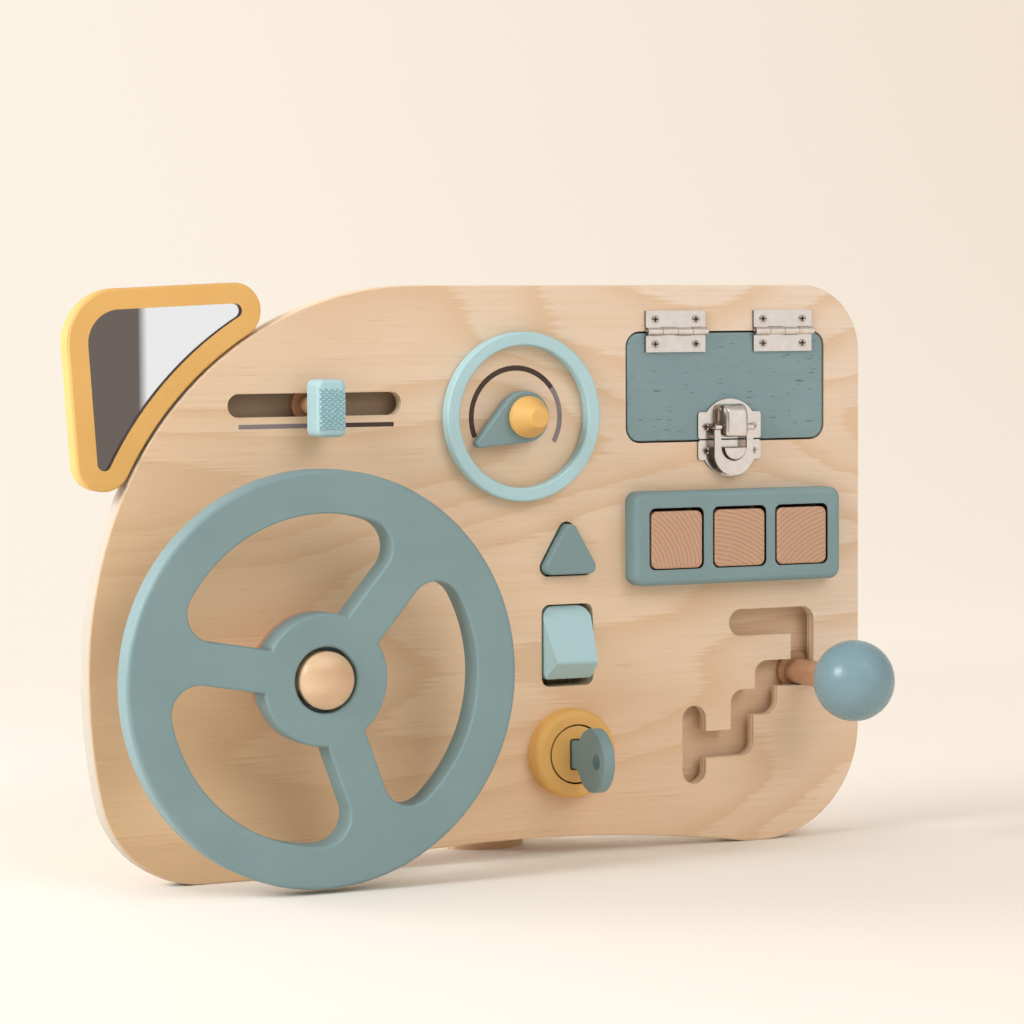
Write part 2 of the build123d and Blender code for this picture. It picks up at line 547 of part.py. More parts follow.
with BuildPart() as slider_knob:
    with BuildSketch(face(KNOB_OUT - KNOB_T)):
        with Locations((SLIDER_X, SLOT_Z - KNOB_DROP)):
            RectangleRounded(KNOB_W, KNOB_H, 3.0)
    extrude(amount=KNOB_T)
    fillet(slider_knob.faces().sort_by(Axis.Y)[0].edges(), 2.0)
    fillet(slider_knob.faces().sort_by(Axis.Y)[-1].edges(), EASE)
    with BuildSketch(face(KNOB_OUT - KNOB_T)):
        with Locations((SLIDER_X, SLOT_Z)):
            Circle(SLIDER_STEM_R + RUN)
    extrude(amount=6.2, mode=Mode.SUBTRACT)
slider_knob.part.label = "slider_knob"
export_step(slider_knob.part, "parts/slider_knob.step")

with BuildPart() as gear_ball:
    with Locations((GEAR_X, -BALL_OUT, GEAR_Z)):
        Sphere(BALL_R, rotation=(90, 0, 0))
    with BuildSketch(face(gear_rod_out + 0.3)):
        with Locations((GEAR_X, GEAR_Z)):
            Circle(GEAR_ROD_R + RUN)
    extrude(amount=-20.0, mode=Mode.SUBTRACT)
gear_ball.part.label = "gear_ball"
export_step(gear_ball.part, "parts/gear_ball.step")

# ---------------------------------------------------------------- dial
SPINDLE_R, COLLAR_R, WASHER_R = 3.0, 5.5, 6.0
pointer_back = POINTER_OUT - POINTER_T
spindle_tip = POINTER_OUT + 5.0

with BuildPart() as dial_ring:
    with BuildSketch(face(0)):
        with Locations((DIAL_X, DIAL_Z)):
            Circle(RING_R)
            Circle(RING_BORE_R, mode=Mode.SUBTRACT)
    extrude(amount=RING_T)
    fillet(dial_ring.edges().filter_by(GeomType.CIRCLE).group_by(Axis.Y)[-1], RING_EASE)
    fillet(dial_ring.edges().filter_by(GeomType.CIRCLE).group_by(Axis.Y)[0], EASE)
dial_ring.part.label = "dial_ring"
export_step(dial_ring.part, "parts/dial_ring.step")

with BuildPart() as dial_pointer:
    with BuildSketch(face(pointer_back)):
        with Locations((DIAL_X, DIAL_Z)):
            Circle(POINTER_R)
            with Locations((POINTER_LENGTH * cos(radians(POINTER_ANGLE)),
                            POINTER_LENGTH * sin(radians(POINTER_ANGLE)))):
                Circle(POINTER_TIP_R)
        make_hull()
    extrude(amount=POINTER_T)
    fillet(dial_pointer.faces().sort_by(Axis.Y)[0].edges(), 0.8)
    with BuildSketch(face(pointer_back)):
        with Locations((DIAL_X, DIAL_Z)):
            Circle(SPINDLE_R + RUN)
    extrude(amount=POINTER_T, mode=Mode.SUBTRACT)
dial_pointer.part.label = "dial_pointer"
export_step(dial_pointer.part, "parts/dial_pointer.step")

with BuildPart() as dial_spindle:
    with BuildSketch(Plane.YZ.offset(DIAL_X)):
        with BuildLine():
            Polyline((12.0, DIAL_Z), (12.0, DIAL_Z + SPINDLE_R), (-FREE, DIAL_Z + SPINDLE_R),
                     (-FREE, DIAL_Z + COLLAR_R), (-pointer_back, DIAL_Z + COLLAR_R),
                     (-pointer_back, DIAL_Z + SPINDLE_R), (-spindle_tip, DIAL_Z + SPINDLE_R), (-spindle_tip, DIAL_Z),
                     close=True)
        make_face()
    revolve(axis=Axis((DIAL_X, 0, DIAL_Z), (0, 1, 0)))
dial_spindle.part.label = "dial_spindle"
export_step(dial_spindle.part, "parts/dial_spindle.step")

with BuildPart() as dial_washer:
    with BuildSketch(face(-BOARD_T - FREE)):
        with Locations((DIAL_X, DIAL_Z)):
            Circle(WASHER_R)
            Circle(SPINDLE_R + 0.02, mode=Mode.SUBTRACT)
    extrude(amount=-1.2)
dial_washer.part.label = "dial_washer"
export_step(dial_washer.part, "parts/dial_washer.step")

with BuildPart() as dial_knob:
    with BuildSketch(Plane.YZ.offset(DIAL_X)):
        with BuildLine():
            tip = POINTER_OUT + DIAL_KNOB_H
            seat = Line((-POINTER_OUT, DIAL_Z), (-POINTER_OUT, DIAL_Z + 8.2))
            shoulder = Spline((seat @ 1), (-POINTER_OUT - 2.5, DIAL_Z + 9.1), (-POINTER_OUT - 4.5, DIAL_Z + 8.6))
            cone = Line(shoulder @ 1, (-tip + 1.0, DIAL_Z + 4.8))
            nose = ThreePointArc(cone @ 1, (-tip + 0.3, DIAL_Z + 4.3), (-tip, DIAL_Z + 3.5))
            Polyline(nose @ 1, (-tip, DIAL_Z), (-POINTER_OUT, DIAL_Z))
        make_face()
    revolve(axis=Axis((DIAL_X, 0, DIAL_Z), (0, 1, 0)))
    with BuildSketch(face(POINTER_OUT)):
        with Locations((DIAL_X, DIAL_Z)):
            Circle(SPINDLE_R + RUN)
    extrude(amount=5.2, mode=Mode.SUBTRACT)
dial_knob.part.label = "dial_knob"
export_step(dial_knob.part, "parts/dial_knob.step")

# ---------------------------------------------------------------- door and hinges
with BuildPart() as door:
    with BuildSketch(face(0)):
        with Locations((DOOR_X, DOOR_Z)):
            RectangleRounded(DOOR_W - 2 * DOOR_GAP, DOOR_H - 2 * DOOR_GAP, DOOR_CORNER_R - DOOR_GAP)
    extrude(amount=-DOOR_T)
    # The lower back edge is bevelled, so that it swings clear of the opening.
    fillet(door.faces().sort_by(Axis.Y)[0].edges(), 0.6)
    low_edge = door.faces().sort_by(Axis.Y)[-1].edges().sort_by(Axis.Z)[0]
    chamfer(low_edge, 2.5)
    with BuildSketch(face(0)):
        with Locations(*[(x + dx, DOOR_HINGE_SCREW_Z) for x in HINGE_XS
                         for dx in (-HINGE_SCREW_DX, HINGE_SCREW_DX)]):
            Circle(FITTING_SHANK_R + RUN)
        with Locations(*[(LATCH_X + dx, LATCH_DOOR_SCREW_Z) for dx in (-LATCH_SCREW_DX, LATCH_SCREW_DX)]):
            Circle(FITTING_SHANK_R + RUN)
    extrude(amount=-FITTING_LENGTH, mode=Mode.SUBTRACT)
door.part.label = "door"
export_step(door.part, "parts/door.step")

KNUCKLES = 4
knuckle_w = HINGE_W / KNUCKLES


def hinge_leaf(x, side):
    """One leaf of a butt hinge: side +1 is screwed to the board above the barrel, -1 to the door."""
    screw_z = BOARD_HINGE_SCREW_Z if side > 0 else DOOR_HINGE_SCREW_Z
    own = [i for i in range(KNUCKLES) if i % 2 == (0 if side > 0 else 1)]
    with BuildPart() as leaf:
        with BuildSketch(face(0)):
            with Locations((x, HINGE_Z + side * (KNUCKLE_R + 0.2 + HINGE_LEAF_H) / 2)):
                Rectangle(HINGE_W, HINGE_LEAF_H - KNUCKLE_R - 0.2)
            for i in own:
                middle = x - HINGE_W / 2 + (i + 0.5) * knuckle_w
                with Locations((middle, HINGE_Z + side * HINGE_LEAF_H / 4)):
                    Rectangle(knuckle_w - 0.2, HINGE_LEAF_H / 2)
        extrude(amount=HINGE_LEAF_T)
        with Locations(*[(x - HINGE_W / 2 + (i + 0.5) * knuckle_w, -HINGE_OUT, HINGE_Z) for i in own]):
            Cylinder(KNUCKLE_R, knuckle_w - 0.2, rotation=(0, 90, 0))
        with Locations((x, -HINGE_OUT, HINGE_Z)):
            Cylinder(HINGE_PIN_R + RUN, HINGE_W + 2, rotation=(0, 90, 0), mode=Mode.SUBTRACT)
        with Locations(*[facing_front(x + dx, HINGE_LEAF_T, screw_z)
                         for dx in (-HINGE_SCREW_DX, HINGE_SCREW_DX)]):
            CounterSinkHole(FITTING_SHANK_R + RUN, FITTING_HEAD_R + RUN, depth=HINGE_LEAF_T,
                            counter_sink_angle=90)
    return leaf.part


for hand, x in zip(("left", "right"), HINGE_XS):
    for place, side in (("board", 1), ("door", -1)):
        leaf = hinge_leaf(x, side)
        leaf.label = f"hinge_{hand}_{place}_leaf"
        export_step(leaf, f"parts/hinge_{hand}_{place}_leaf.step")
    with BuildPart() as pin:
        with Locations((x + 0.4, -HINGE_OUT, HINGE_Z)):
            Cylinder(HINGE_PIN_R, HINGE_W + 1.0, rotation=(0, 90, 0))
    pin.part.label = f"hinge_{hand}_pin"
    export_step(pin.part, f"parts/hinge_{hand}_pin.step")

# ---------------------------------------------------------------- latch
LATCH_PLATE_T, LATCH_W, LATCH_ARCH_R = 1.0, 32.0, 14.6
LEVER_PIVOT_OUT, LEVER_PIVOT_Z, LEVER_NOSE_R, LEVER_HALF_W = 3.7, 195.6, 2.4, 6.1
LOOP_PIVOT_OUT, LOOP_PIVOT_Z, LOOP_HALF_W, LOOP_HOLE_HALF_W = 4.5, 187.6, 9.9, 6.5
LOOP_T, LOOP_EYE_R, LOOP_FOOT_Z, LOOP_BOW_Z = 1.2, 1.5, 166.0, 178.9
LUG_R, LUG_Z, LUG_OUT = 5.6, 178.6, 7.0
LATCH_PIN_R, KNUCKLE_WEB_H = 0.8, 1.4     # the web is low enough for the lever to swing past it


def latch_plate(low, high, arch_z, screw_z):
    """Plate with an arched end and two countersunk holes; low and high bound its straight part."""
    with BuildPart() as plate:
        with BuildSketch(face(0)):
            with Locations((LATCH_X, (low + high) / 2)):
                RectangleRounded(LATCH_W, high - low, 1.2)
            with Locations((LATCH_X, arch_z)):
                Circle(LATCH_ARCH_R)
                # Only the arch beyond the plate's straight edge is kept.
                trim = low - 30 if arch_z > (low + high) / 2 - 5 and high > 190 else high + 30
            with Locations((LATCH_X, trim)):
                Rectangle(LATCH_W * 2, 60, mode=Mode.SUBTRACT)
        extrude(amount=LATCH_PLATE_T)
        with Locations(*[facing_front(LATCH_X + dx, LATCH_PLATE_T, screw_z)
                         for dx in (-LATCH_SCREW_DX, LATCH_SCREW_DX)]):
            CounterSinkHole(FITTING_SHANK_R + RUN, FITTING_HEAD_R + RUN, depth=LATCH_PLATE_T,
                            counter_sink_angle=90)
    return plate.part


with BuildPart() as latch_door_plate:
    add(latch_plate(182.4, 194.3, 185.6, LATCH_DOOR_SCREW_Z))
    # A central knuckle carries the lever.
    with Locations((LATCH_X, -LEVER_PIVOT_OUT, LEVER_PIVOT_Z)):
        Cylinder(2.2, 5.0, rotation=(0, 90, 0))
    with Locations((LATCH_X, -(LEVER_PIVOT_OUT + LATCH_PLATE_T) / 2, LEVER_PIVOT_Z)):
        Box(5.0, LEVER_PIVOT_OUT - LATCH_PLATE_T, KNUCKLE_WEB_H)
    with Locations((LATCH_X, -LEVER_PIVOT_OUT, LEVER_PIVOT_Z)):
        Cylinder(LATCH_PIN_R + RUN, 6.0, rotation=(0, 90, 0), mode=Mode.SUBTRACT)
latch_door_plate.part.label = "latch_door_plate"
export_step(latch_door_plate.part, "parts/latch_door_plate.step")

with BuildPart() as latch_catch_plate:
    add(latch_plate(173.0, 181.7, 180.2, LATCH_BOARD_SCREW_Z))
    with BuildSketch(face(LATCH_PLATE_T)):
        with Locations((LATCH_X, LUG_Z)):
            Circle(LUG_R)
            with Locations((0, LUG_R)):
                Rectangle(4 * LUG_R, 2 * LUG_R, mode=Mode.SUBTRACT)
    extrude(amount=LUG_OUT - LATCH_PLATE_T)
    fillet(latch_catch_plate.faces().sort_by(Axis.Y)[0].edges(), 0.8)
latch_catch_plate.part.label = "latch_catch_plate"
export_step(latch_catch_plate.part, "parts/latch_catch_plate.step")

# The lever is shaped like a duck's bill: a round nose about its pivot, a crowned front, an open tip.
LEVER_TIP_Z, LEVER_FRONT_OUT, LEVER_BACK_OUT = 183.2, 8.3, LEVER_PIVOT_OUT - LEVER_NOSE_R

with BuildPart() as latch_lever:
    with BuildSketch(Plane.YZ.offset(LATCH_X)):
        with BuildLine():
            back = Line((-LEVER_BACK_OUT, LEVER_TIP_Z), (-LEVER_BACK_OUT, LEVER_PIVOT_Z))
            nose = JernArc(back @ 1, (0, 1), LEVER_NOSE_R, 100)
            crown = Spline(nose @ 1, (-LEVER_FRONT_OUT, LEVER_PIVOT_Z - 5.5),
                           tangents=[nose % 1, (0, -1)])
            front = Line(crown @ 1, (-LEVER_FRONT_OUT, LEVER_TIP_Z + 1.6))
            tip = ThreePointArc(front @ 1, (-LEVER_FRONT_OUT + 0.5, LEVER_TIP_Z + 0.5),
                                (-LEVER_FRONT_OUT + 1.6, LEVER_TIP_Z))
            Line(tip @ 1, back @ 0)
        make_face()
    extrude(amount=LEVER_HALF_W, both=True)
    flanks = [e for e in latch_lever.edges() if abs(abs(e.center().X - LATCH_X) - LEVER_HALF_W) < 0.01
              and e.center().Y < -LEVER_PIVOT_OUT]
    fillet(flanks, 2.2)
    with Locations((LATCH_X, -LEVER_PIVOT_OUT, LEVER_PIVOT_Z)):
        Cylinder(2.2 + FREE, 5.0 + 2 * FREE, rotation=(0, 90, 0), mode=Mode.SUBTRACT)
        Cylinder(LATCH_PIN_R + RUN, 20.0, rotation=(0, 90, 0), mode=Mode.SUBTRACT)
    with Locations((LATCH_X, -LEVER_PIVOT_OUT / 2, LEVER_PIVOT_Z - 1.0)):
        Box(5.0 + 2 * FREE, LEVER_PIVOT_OUT, 9.0, mode=Mode.SUBTRACT)
    with Locations((LATCH_X, -LOOP_PIVOT_OUT, LOOP_PIVOT_Z)):
        Cylinder(LATCH_PIN_R + RUN, 20.0, rotation=(0, 90, 0), mode=Mode.SUBTRACT)
latch_lever.part.label = "latch_lever"
export_step(latch_lever.part, "parts/latch_lever.step")

with BuildPart() as latch_loop:
    with BuildSketch(face(LOOP_PIVOT_OUT - LOOP_T / 2)):
        with BuildLine():
            left = Line((LATCH_X - LOOP_HALF_W, LOOP_PIVOT_Z), (LATCH_X - LOOP_HALF_W, 175.0))
            bow = ThreePointArc(left @ 1, (LATCH_X, LOOP_FOOT_Z), (LATCH_X + LOOP_HALF_W, 175.0))
            right = Line(bow @ 1, (LATCH_X + LOOP_HALF_W, LOOP_PIVOT_Z))
            Line(right @ 1, left @ 0)
        make_face()
        with Locations((LATCH_X, LOOP_BOW_Z)):
            Circle(LOOP_HOLE_HALF_W, mode=Mode.SUBTRACT)
            with Locations((0, 6)):
                Rectangle(2 * LOOP_HOLE_HALF_W, 12, mode=Mode.SUBTRACT)
    extrude(amount=LOOP_T)
    for side in (-1, 1):
        middle = LATCH_X + side * (LOOP_HALF_W + LOOP_HOLE_HALF_W) / 2
        with Locations((middle, -LOOP_PIVOT_OUT, LOOP_PIVOT_Z)):
            Cylinder(LOOP_EYE_R, LOOP_HALF_W - LOOP_HOLE_HALF_W, rotation=(0, 90, 0))
            Cylinder(LATCH_PIN_R + RUN, 8.0, rotation=(0, 90, 0), mode=Mode.SUBTRACT)
latch_loop.part.label = "latch_loop"
export_step(latch_loop.part, "parts/latch_loop.step")

for name, out, z, length in (("latch_lever_pin", LEVER_PIVOT_OUT, LEVER_PIVOT_Z, 2 * LEVER_HALF_W - 1),
                             ("latch_loop_pin", LOOP_PIVOT_OUT, LOOP_PIVOT_Z, 2 * LOOP_HALF_W)):
    with BuildPart() as pin:
        with Locations((LATCH_X, -out, z)):
            Cylinder(LATCH_PIN_R, length, rotation=(0, 90, 0))
    pin.part.label = name
    export_step(pin.part, f"parts/{name}.step")

# Screws of hinges and latch, grouped by what they are driven into.
for name, hinge_z, latch_z in (("board_fitting_screws", BOARD_HINGE_SCREW_Z, LATCH_BOARD_SCREW_Z),
                               ("door_fitting_screws", DOOR_HINGE_SCREW_Z, LATCH_DOOR_SCREW_Z)):
    places = [facing_front(x + dx, HINGE_LEAF_T, hinge_z) for x in HINGE_XS
              for dx in (-HINGE_SCREW_DX, HINGE_SCREW_DX)]
    places += [facing_front(LATCH_X + dx, LATCH_PLATE_T, latch_z) for dx in (-LATCH_SCREW_DX, LATCH_SCREW_DX)]
    with BuildPart() as fitting_screws:
        with Locations(*places):
            add(screw(FITTING_HEAD_R, FITTING_SHANK_R, FITTING_LENGTH, dome=0.3))
    fitting_screws.part.label = name
    export_step(fitting_screws.part, f"parts/{name}.step")

# ---------------------------------------------------------------- buttons
with BuildPart() as button_panel:
    with BuildSketch(face(0)):
        with Locations((PANEL_X, PANEL_Z)):
            RectangleRounded(PANEL_W, PANEL_H, PANEL_CORNER_R)
    extrude(amount=PANEL_T)
    fillet(button_panel.faces().sort_by(Axis.Y)[0].edges(), PANEL_EDGE_R)
    with BuildSketch(face(0)):
        with Locations((BUTTON_X, BUTTON_Z)), GridLocations(BUTTON_PITCH, 0, 3, 1):
            RectangleRounded(BUTTON_HOLE, BUTTON_HOLE, BUTTON_CORNER_R)
    extrude(amount=PANEL_T, mode=Mode.SUBTRACT)
button_panel.part.label = "button_panel"
export_step(button_panel.part, "parts/button_panel.step")

flange_front = BOARD_T + 0.4
flange_back = flange_front + FLANGE_T

for i, name in enumerate(("button_left", "button_centre", "button_right")):
    x, z = BUTTON_X + (i - 1) * BUTTON_PITCH, BUTTON_Z - BUTTON_DROP
    with BuildPart() as button:
        with BuildSketch(face(PANEL_T + 0.5)):
            with Locations((x, z)):
                RectangleRounded(BUTTON, BUTTON, BUTTON_CORNER_R)
        extrude(amount=-(PANEL_T + 0.5 + flange_back))
        fillet(button.faces().sort_by(Axis.Y)[0].edges(), 0.8)
        # The flange behind the board keeps the button in its hole.
        with BuildSketch(face(-flange_front)):
            with Locations((x, BUTTON_Z)):
                RectangleRounded(BUTTON_HOLE + 2 * FLANGE_LIP, BUTTON_HOLE + 2 * FLANGE_LIP, BUTTON_CORNER_R)
        extrude(amount=-FLANGE_T)
    button.part.label = name
    export_step(button.part, f"parts/{name}.step")
    spring = coil_spring(x, z, flange_back, CORE_BACK)
    spring.label = f"{name}_spring"
    export_step(spring, f"parts/{name}_spring.step")

with BuildPart() as triangle_button:
    with BuildSketch(face(TRIANGLE_OUT)):
        add(triangle_profile(-TRIANGLE_GAP))
    extrude(amount=-(TRIANGLE_OUT + flange_back))
    fillet(triangle_button.faces().sort_by(Axis.Y)[0].edges(), EASE)
    with BuildSketch(face(-flange_front)):
        add(triangle_profile(FLANGE_LIP))
    extrude(amount=-FLANGE_T)
triangle_button.part.label = "triangle_button"
export_step(triangle_button.part, "parts/triangle_button.step")

spring = coil_spring(TRIANGLE_X, TRIANGLE_Z, flange_back, CORE_BACK)
spring.label = "triangle_button_spring"
export_step(spring, "parts/triangle_button_spring.step")

# ---------------------------------------------------------------- rocker
# Side view of the rocker, (y, z): its upper end is pushed in, its lower end stands out as a ridge.
ROCKER_SIDE = ((2.7, 110.6), (0.2, 105.0), (-10.0, 86.2), (-0.5, 78.4), (8.0, 79.2), (15.0, 88.0),
               (15.0, 99.5), (8.0, 109.2))
rocker_half = ROCKER_W / 2 - 1.0
ROCKER_DRAFT = 1.8                       # each flank leans in by this much at the ridge

with BuildPart() as rocker:
    with BuildSketch(Plane.YZ.offset(ROCKER_X)):
        with BuildLine():
            Polyline(*ROCKER_SIDE, close=True)
        make_face()
        fillet(vertices().sort_by(Axis.X)[0], 1.5)
    extrude(amount=rocker_half, both=True)
    with BuildSketch(Plane.XY.offset(ROCKER_Z)):
        with BuildLine():
            Polyline((ROCKER_X - rocker_half, 20), (ROCKER_X - rocker_half, 0),
                     (ROCKER_X - rocker_half + ROCKER_DRAFT, -10), (ROCKER_X + rocker_half - ROCKER_DRAFT, -10),
                     (ROCKER_X + rocker_half, 0), (ROCKER_X + rocker_half, 20), close=True)
        make_face()
    extrude(amount=ROCKER_H, both=True, mode=Mode.INTERSECT)
    with BuildSketch(face(0)):
        with Locations((ROCKER_X, ROCKER_Z)):
            RectangleRounded(2 * rocker_half, ROCKER_H - 1.8, ROCKER_CORNER_R + 2)
    extrude(amount=30.0, both=True, mode=Mode.INTERSECT)
    with Locations((ROCKER_X, ROCKER_PIVOT_Y, ROCKER_Z)):
        Cylinder(ROCKER_PIN_R + RUN, ROCKER_W, rotation=(0, 90, 0), mode=Mode.SUBTRACT)
rocker.part.label = "rocker"
export_step(rocker.part, "parts/rocker.step")

with BuildPart() as rocker_pin:
    with Locations((ROCKER_X, ROCKER_PIVOT_Y, ROCKER_Z)):
        Cylinder(ROCKER_PIN_R, ROCKER_W + 11.0, rotation=(0, 90, 0))
rocker_pin.part.label = "rocker_pin"
export_step(rocker_pin.part, "parts/rocker_pin.step")

# ---------------------------------------------------------------- lock and key
CYLINDER_END = BOARD_T + 0.4
with BuildPart() as lock_base:
    with BuildSketch(face(0)):
        with Locations((LOCK_X, LOCK_Z)):
            Circle(LOCK_BASE_R)
    extrude(amount=LOCK_T)
    fillet(lock_base.faces().sort_by(Axis.Y)[0].edges(), 3.0)
    with BuildSketch(face(0)):
        with Locations((LOCK_X, LOCK_Z)):
            Circle(LOCK_BORE_R)
    extrude(amount=LOCK_T, mode=Mode.SUBTRACT)
lock_base.part.label = "lock_base"
export_step(lock_base.part, "parts/lock_base.step")

with BuildPart() as lock_cylinder:
    with BuildSketch(face(LOCK_T)):
        with Locations((LOCK_X, LOCK_Z)):
            Circle(CYLINDER_R)
    extrude(amount=-(LOCK_T - 0.5))
    fillet(lock_cylinder.faces().sort_by(Axis.Y)[0].edges(), 0.6)
    with BuildSketch(face(0.5)):
        with Locations((LOCK_X, LOCK_Z)):
            Circle(CYLINDER_SHANK_R)
    extrude(amount=-(0.5 + CYLINDER_END))
    with BuildSketch(face(LOCK_T)):
        with Locations((LOCK_X, LOCK_Z)):
            RectangleRounded(KEY_SLOT_W, KEY_SLOT_H, 1.2)
    extrude(amount=-10.0, mode=Mode.SUBTRACT)
    with Locations(facing_back(LOCK_X, CYLINDER_END, LOCK_Z)):
        Hole(FITTING_SHANK_R + RUN, depth=FITTING_LENGTH)
lock_cylinder.part.label = "lock_cylinder"
export_step(lock_cylinder.part, "parts/lock_cylinder.step")

with BuildPart() as lock_retainer:
    with BuildSketch(face(-CYLINDER_END)):
        with Locations((LOCK_X, LOCK_Z)):
            Circle(CYLINDER_R - 1)
    extrude(amount=-3.0)
    with Locations(facing_back(LOCK_X, CYLINDER_END + 3.0, LOCK_Z)):
        CounterSinkHole(FITTING_SHANK_R + RUN, FITTING_HEAD_R + RUN, depth=3.0, counter_sink_angle=90)
lock_retainer.part.label = "lock_retainer"
export_step(lock_retainer.part, "parts/lock_retainer.step")

with BuildPart() as lock_screw:
    with Locations(facing_back(LOCK_X, CYLINDER_END + 3.0, LOCK_Z)):
        add(screw(FITTING_HEAD_R, FITTING_SHANK_R, FITTING_LENGTH))
lock_screw.part.label = "lock_screw"
export_step(lock_screw.part, "parts/lock_screw.step")

with BuildPart() as key:
    with BuildSketch(Plane.YZ.offset(LOCK_X)):
        with Locations((-KEY_HEAD_OUT, LOCK_Z - KEY_HEAD_DROP)):
            Ellipse(KEY_HEAD_W / 2, KEY_HEAD_H / 2)
        with Locations((-12.0, LOCK_Z)):
            Rectangle(21.0, KEY_BLADE_H)
    extrude(amount=KEY_T / 2, both=True)
    fillet(key.edges().filter_by(lambda e: abs(abs(e.center().X - LOCK_X) - KEY_T / 2) < 0.01), 0.9)
    with Locations((LOCK_X, -KEY_HOLE_OUT, LOCK_Z - KEY_HEAD_DROP)):
        Cylinder(KEY_HOLE_R, KEY_T + 2, rotation=(0, 90, 0), mode=Mode.SUBTRACT)
key.part.label = "key"
export_step(key.part, "parts/key.step")
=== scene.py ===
# %% [markdown]
# # A wooden busy board, dressed in Blender
#
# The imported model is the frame: every solid is at its real size and rides on the body that moves it.
# This file gives each solid its finish, adds the small things that have no solid of their own (print,
# knurling), and sets up a plain studio. Everything is in metres: X to the player's right, Y through the
# board to its back, Z up. The board's face is the plane Y = 0.

# %% Load the frame
import json
from math import cos, hypot, pi, radians, sin

import bmesh
import bpy
from mathutils import Matrix, Vector

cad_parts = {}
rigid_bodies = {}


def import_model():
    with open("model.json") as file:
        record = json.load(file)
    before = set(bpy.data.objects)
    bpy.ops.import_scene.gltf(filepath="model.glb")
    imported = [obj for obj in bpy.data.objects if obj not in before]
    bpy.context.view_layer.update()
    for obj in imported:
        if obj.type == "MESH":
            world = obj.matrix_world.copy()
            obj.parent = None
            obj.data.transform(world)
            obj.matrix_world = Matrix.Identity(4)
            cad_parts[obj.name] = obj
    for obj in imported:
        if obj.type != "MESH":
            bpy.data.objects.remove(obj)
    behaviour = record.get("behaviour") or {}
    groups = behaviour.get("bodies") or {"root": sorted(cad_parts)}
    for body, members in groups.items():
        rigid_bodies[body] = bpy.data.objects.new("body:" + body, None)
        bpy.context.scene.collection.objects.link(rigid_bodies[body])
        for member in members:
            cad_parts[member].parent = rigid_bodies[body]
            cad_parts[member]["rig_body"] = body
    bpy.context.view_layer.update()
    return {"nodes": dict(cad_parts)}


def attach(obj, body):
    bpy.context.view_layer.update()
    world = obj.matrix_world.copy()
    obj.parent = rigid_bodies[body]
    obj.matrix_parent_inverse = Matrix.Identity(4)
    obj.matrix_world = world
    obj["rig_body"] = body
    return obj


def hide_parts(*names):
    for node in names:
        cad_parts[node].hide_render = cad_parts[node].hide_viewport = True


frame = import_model()
MM = 0.001

# %% [markdown]
# ## Colours and node trees
#
# Colours are easiest to judge as the eight-bit numbers of a paint chart, but the shader wants linear
# light, so one helper converts them. Node trees could be drawn by hand in the editor. In a script a
# tiny helper that adds a node, sets its values and wires its inputs keeps each finish short enough to
# read from top to bottom.

# %% Helpers for colours and nodes
def chart(red, green, blue):
    """A colour given in eight-bit screen values, as linear light with full alpha."""
    def linear(value):
        value /= 255
        return value / 12.92 if value <= 0.04045 else ((value + 0.055) / 1.055) ** 2.4
    return (linear(red), linear(green), linear(blue), 1.0)


class Tree:
    """The node tree of a new material, with a Principled shader ready to be fed."""

    def __init__(self, name, roughness=0.5, metallic=0.0, **sockets):
        self.material = bpy.data.materials.new(name)
        self.material.use_nodes = True
        self.nodes = self.material.node_tree.nodes
        self.links = self.material.node_tree.links
        self.shader = self.nodes["Principled BSDF"]
        self.shader.inputs["Roughness"].default_value = roughness
        self.shader.inputs["Metallic"].default_value = metallic
        for socket, value in sockets.items():
            self.shader.inputs[socket].default_value = value
        self.place = self.add("TexCoord").outputs["Object"]

    def add(self, kind, inputs=None, **settings):
        """A node of this kind. inputs maps socket names or numbers to values or to other outputs."""
        node = self.nodes.new("ShaderNode" + kind)
        for setting, value in settings.items():
            setattr(node, setting, value)
        for socket, value in (inputs or {}).items():
            if isinstance(value, bpy.types.NodeSocket):
                self.links.new(value, node.inputs[socket])
            else:
                node.inputs[socket].default_value = value
        return node

    def stretched(self, scale, location=(0, 0, 0)):
        """Object coordinates, scaled and then moved, so that a pattern can run along the grain."""
        return self.add("Mapping", {"Vector": self.place, "Location": location,
                                    "Scale": scale}).outputs["Vector"]

    def noise(self, vector, scale=1.0, detail=2.0, roughness=0.5):
        return self.add("TexNoise", {"Vector": vector, "Scale": scale, "Detail": detail,
                                     "Roughness": roughness}).outputs["Fac"]

    def ramp(self, factor, *stops):
        """A colour ramp from (position, colour) stops."""
        node = self.add("ValToRGB", {"Fac": factor})
        while len(node.color_ramp.elements) < len(stops):
            node.color_ramp.elements.new(0.5)
        for element, (position, color) in zip(node.color_ramp.elements, stops):
            element.position = position
            element.color = color
        return node.outputs["Color"]

    def span(self, factor, low, high, to_low=0.0, to_high=1.0):
        """factor from low..high brought to to_low..to_high, and held at its ends."""
        return self.add("MapRange", {"Value": factor, "From Min": low, "From Max": high,
                                     "To Min": to_low, "To Max": to_high}).outputs["Result"]

    def mix(self, factor, first, second, blend="MIX"):
        node = self.add("Mix", {"Factor": factor}, data_type="RGBA", blend_type=blend)
        for socket, value in ((6, first), (7, second)):
            if isinstance(value, bpy.types.NodeSocket):
                self.links.new(value, node.inputs[socket])
            else:
                node.inputs[socket].default_value = value
        return node.outputs[2]

    def bump(self, height, distance, strength=1.0, below=None):
        inputs = {"Height": height, "Distance": distance, "Strength": strength}
        if below is not None:
            inputs["Normal"] = below
        return self.add("Bump", inputs).outputs["Normal"]

    def feed(self, **outputs):
        """Wires outputs to the shader, with underscores for the spaces of its socket names."""
        for socket, output in outputs.items():
            self.links.new(output, self.shader.inputs[socket.replace("_", " ")])
        return self.material


finishes = {}

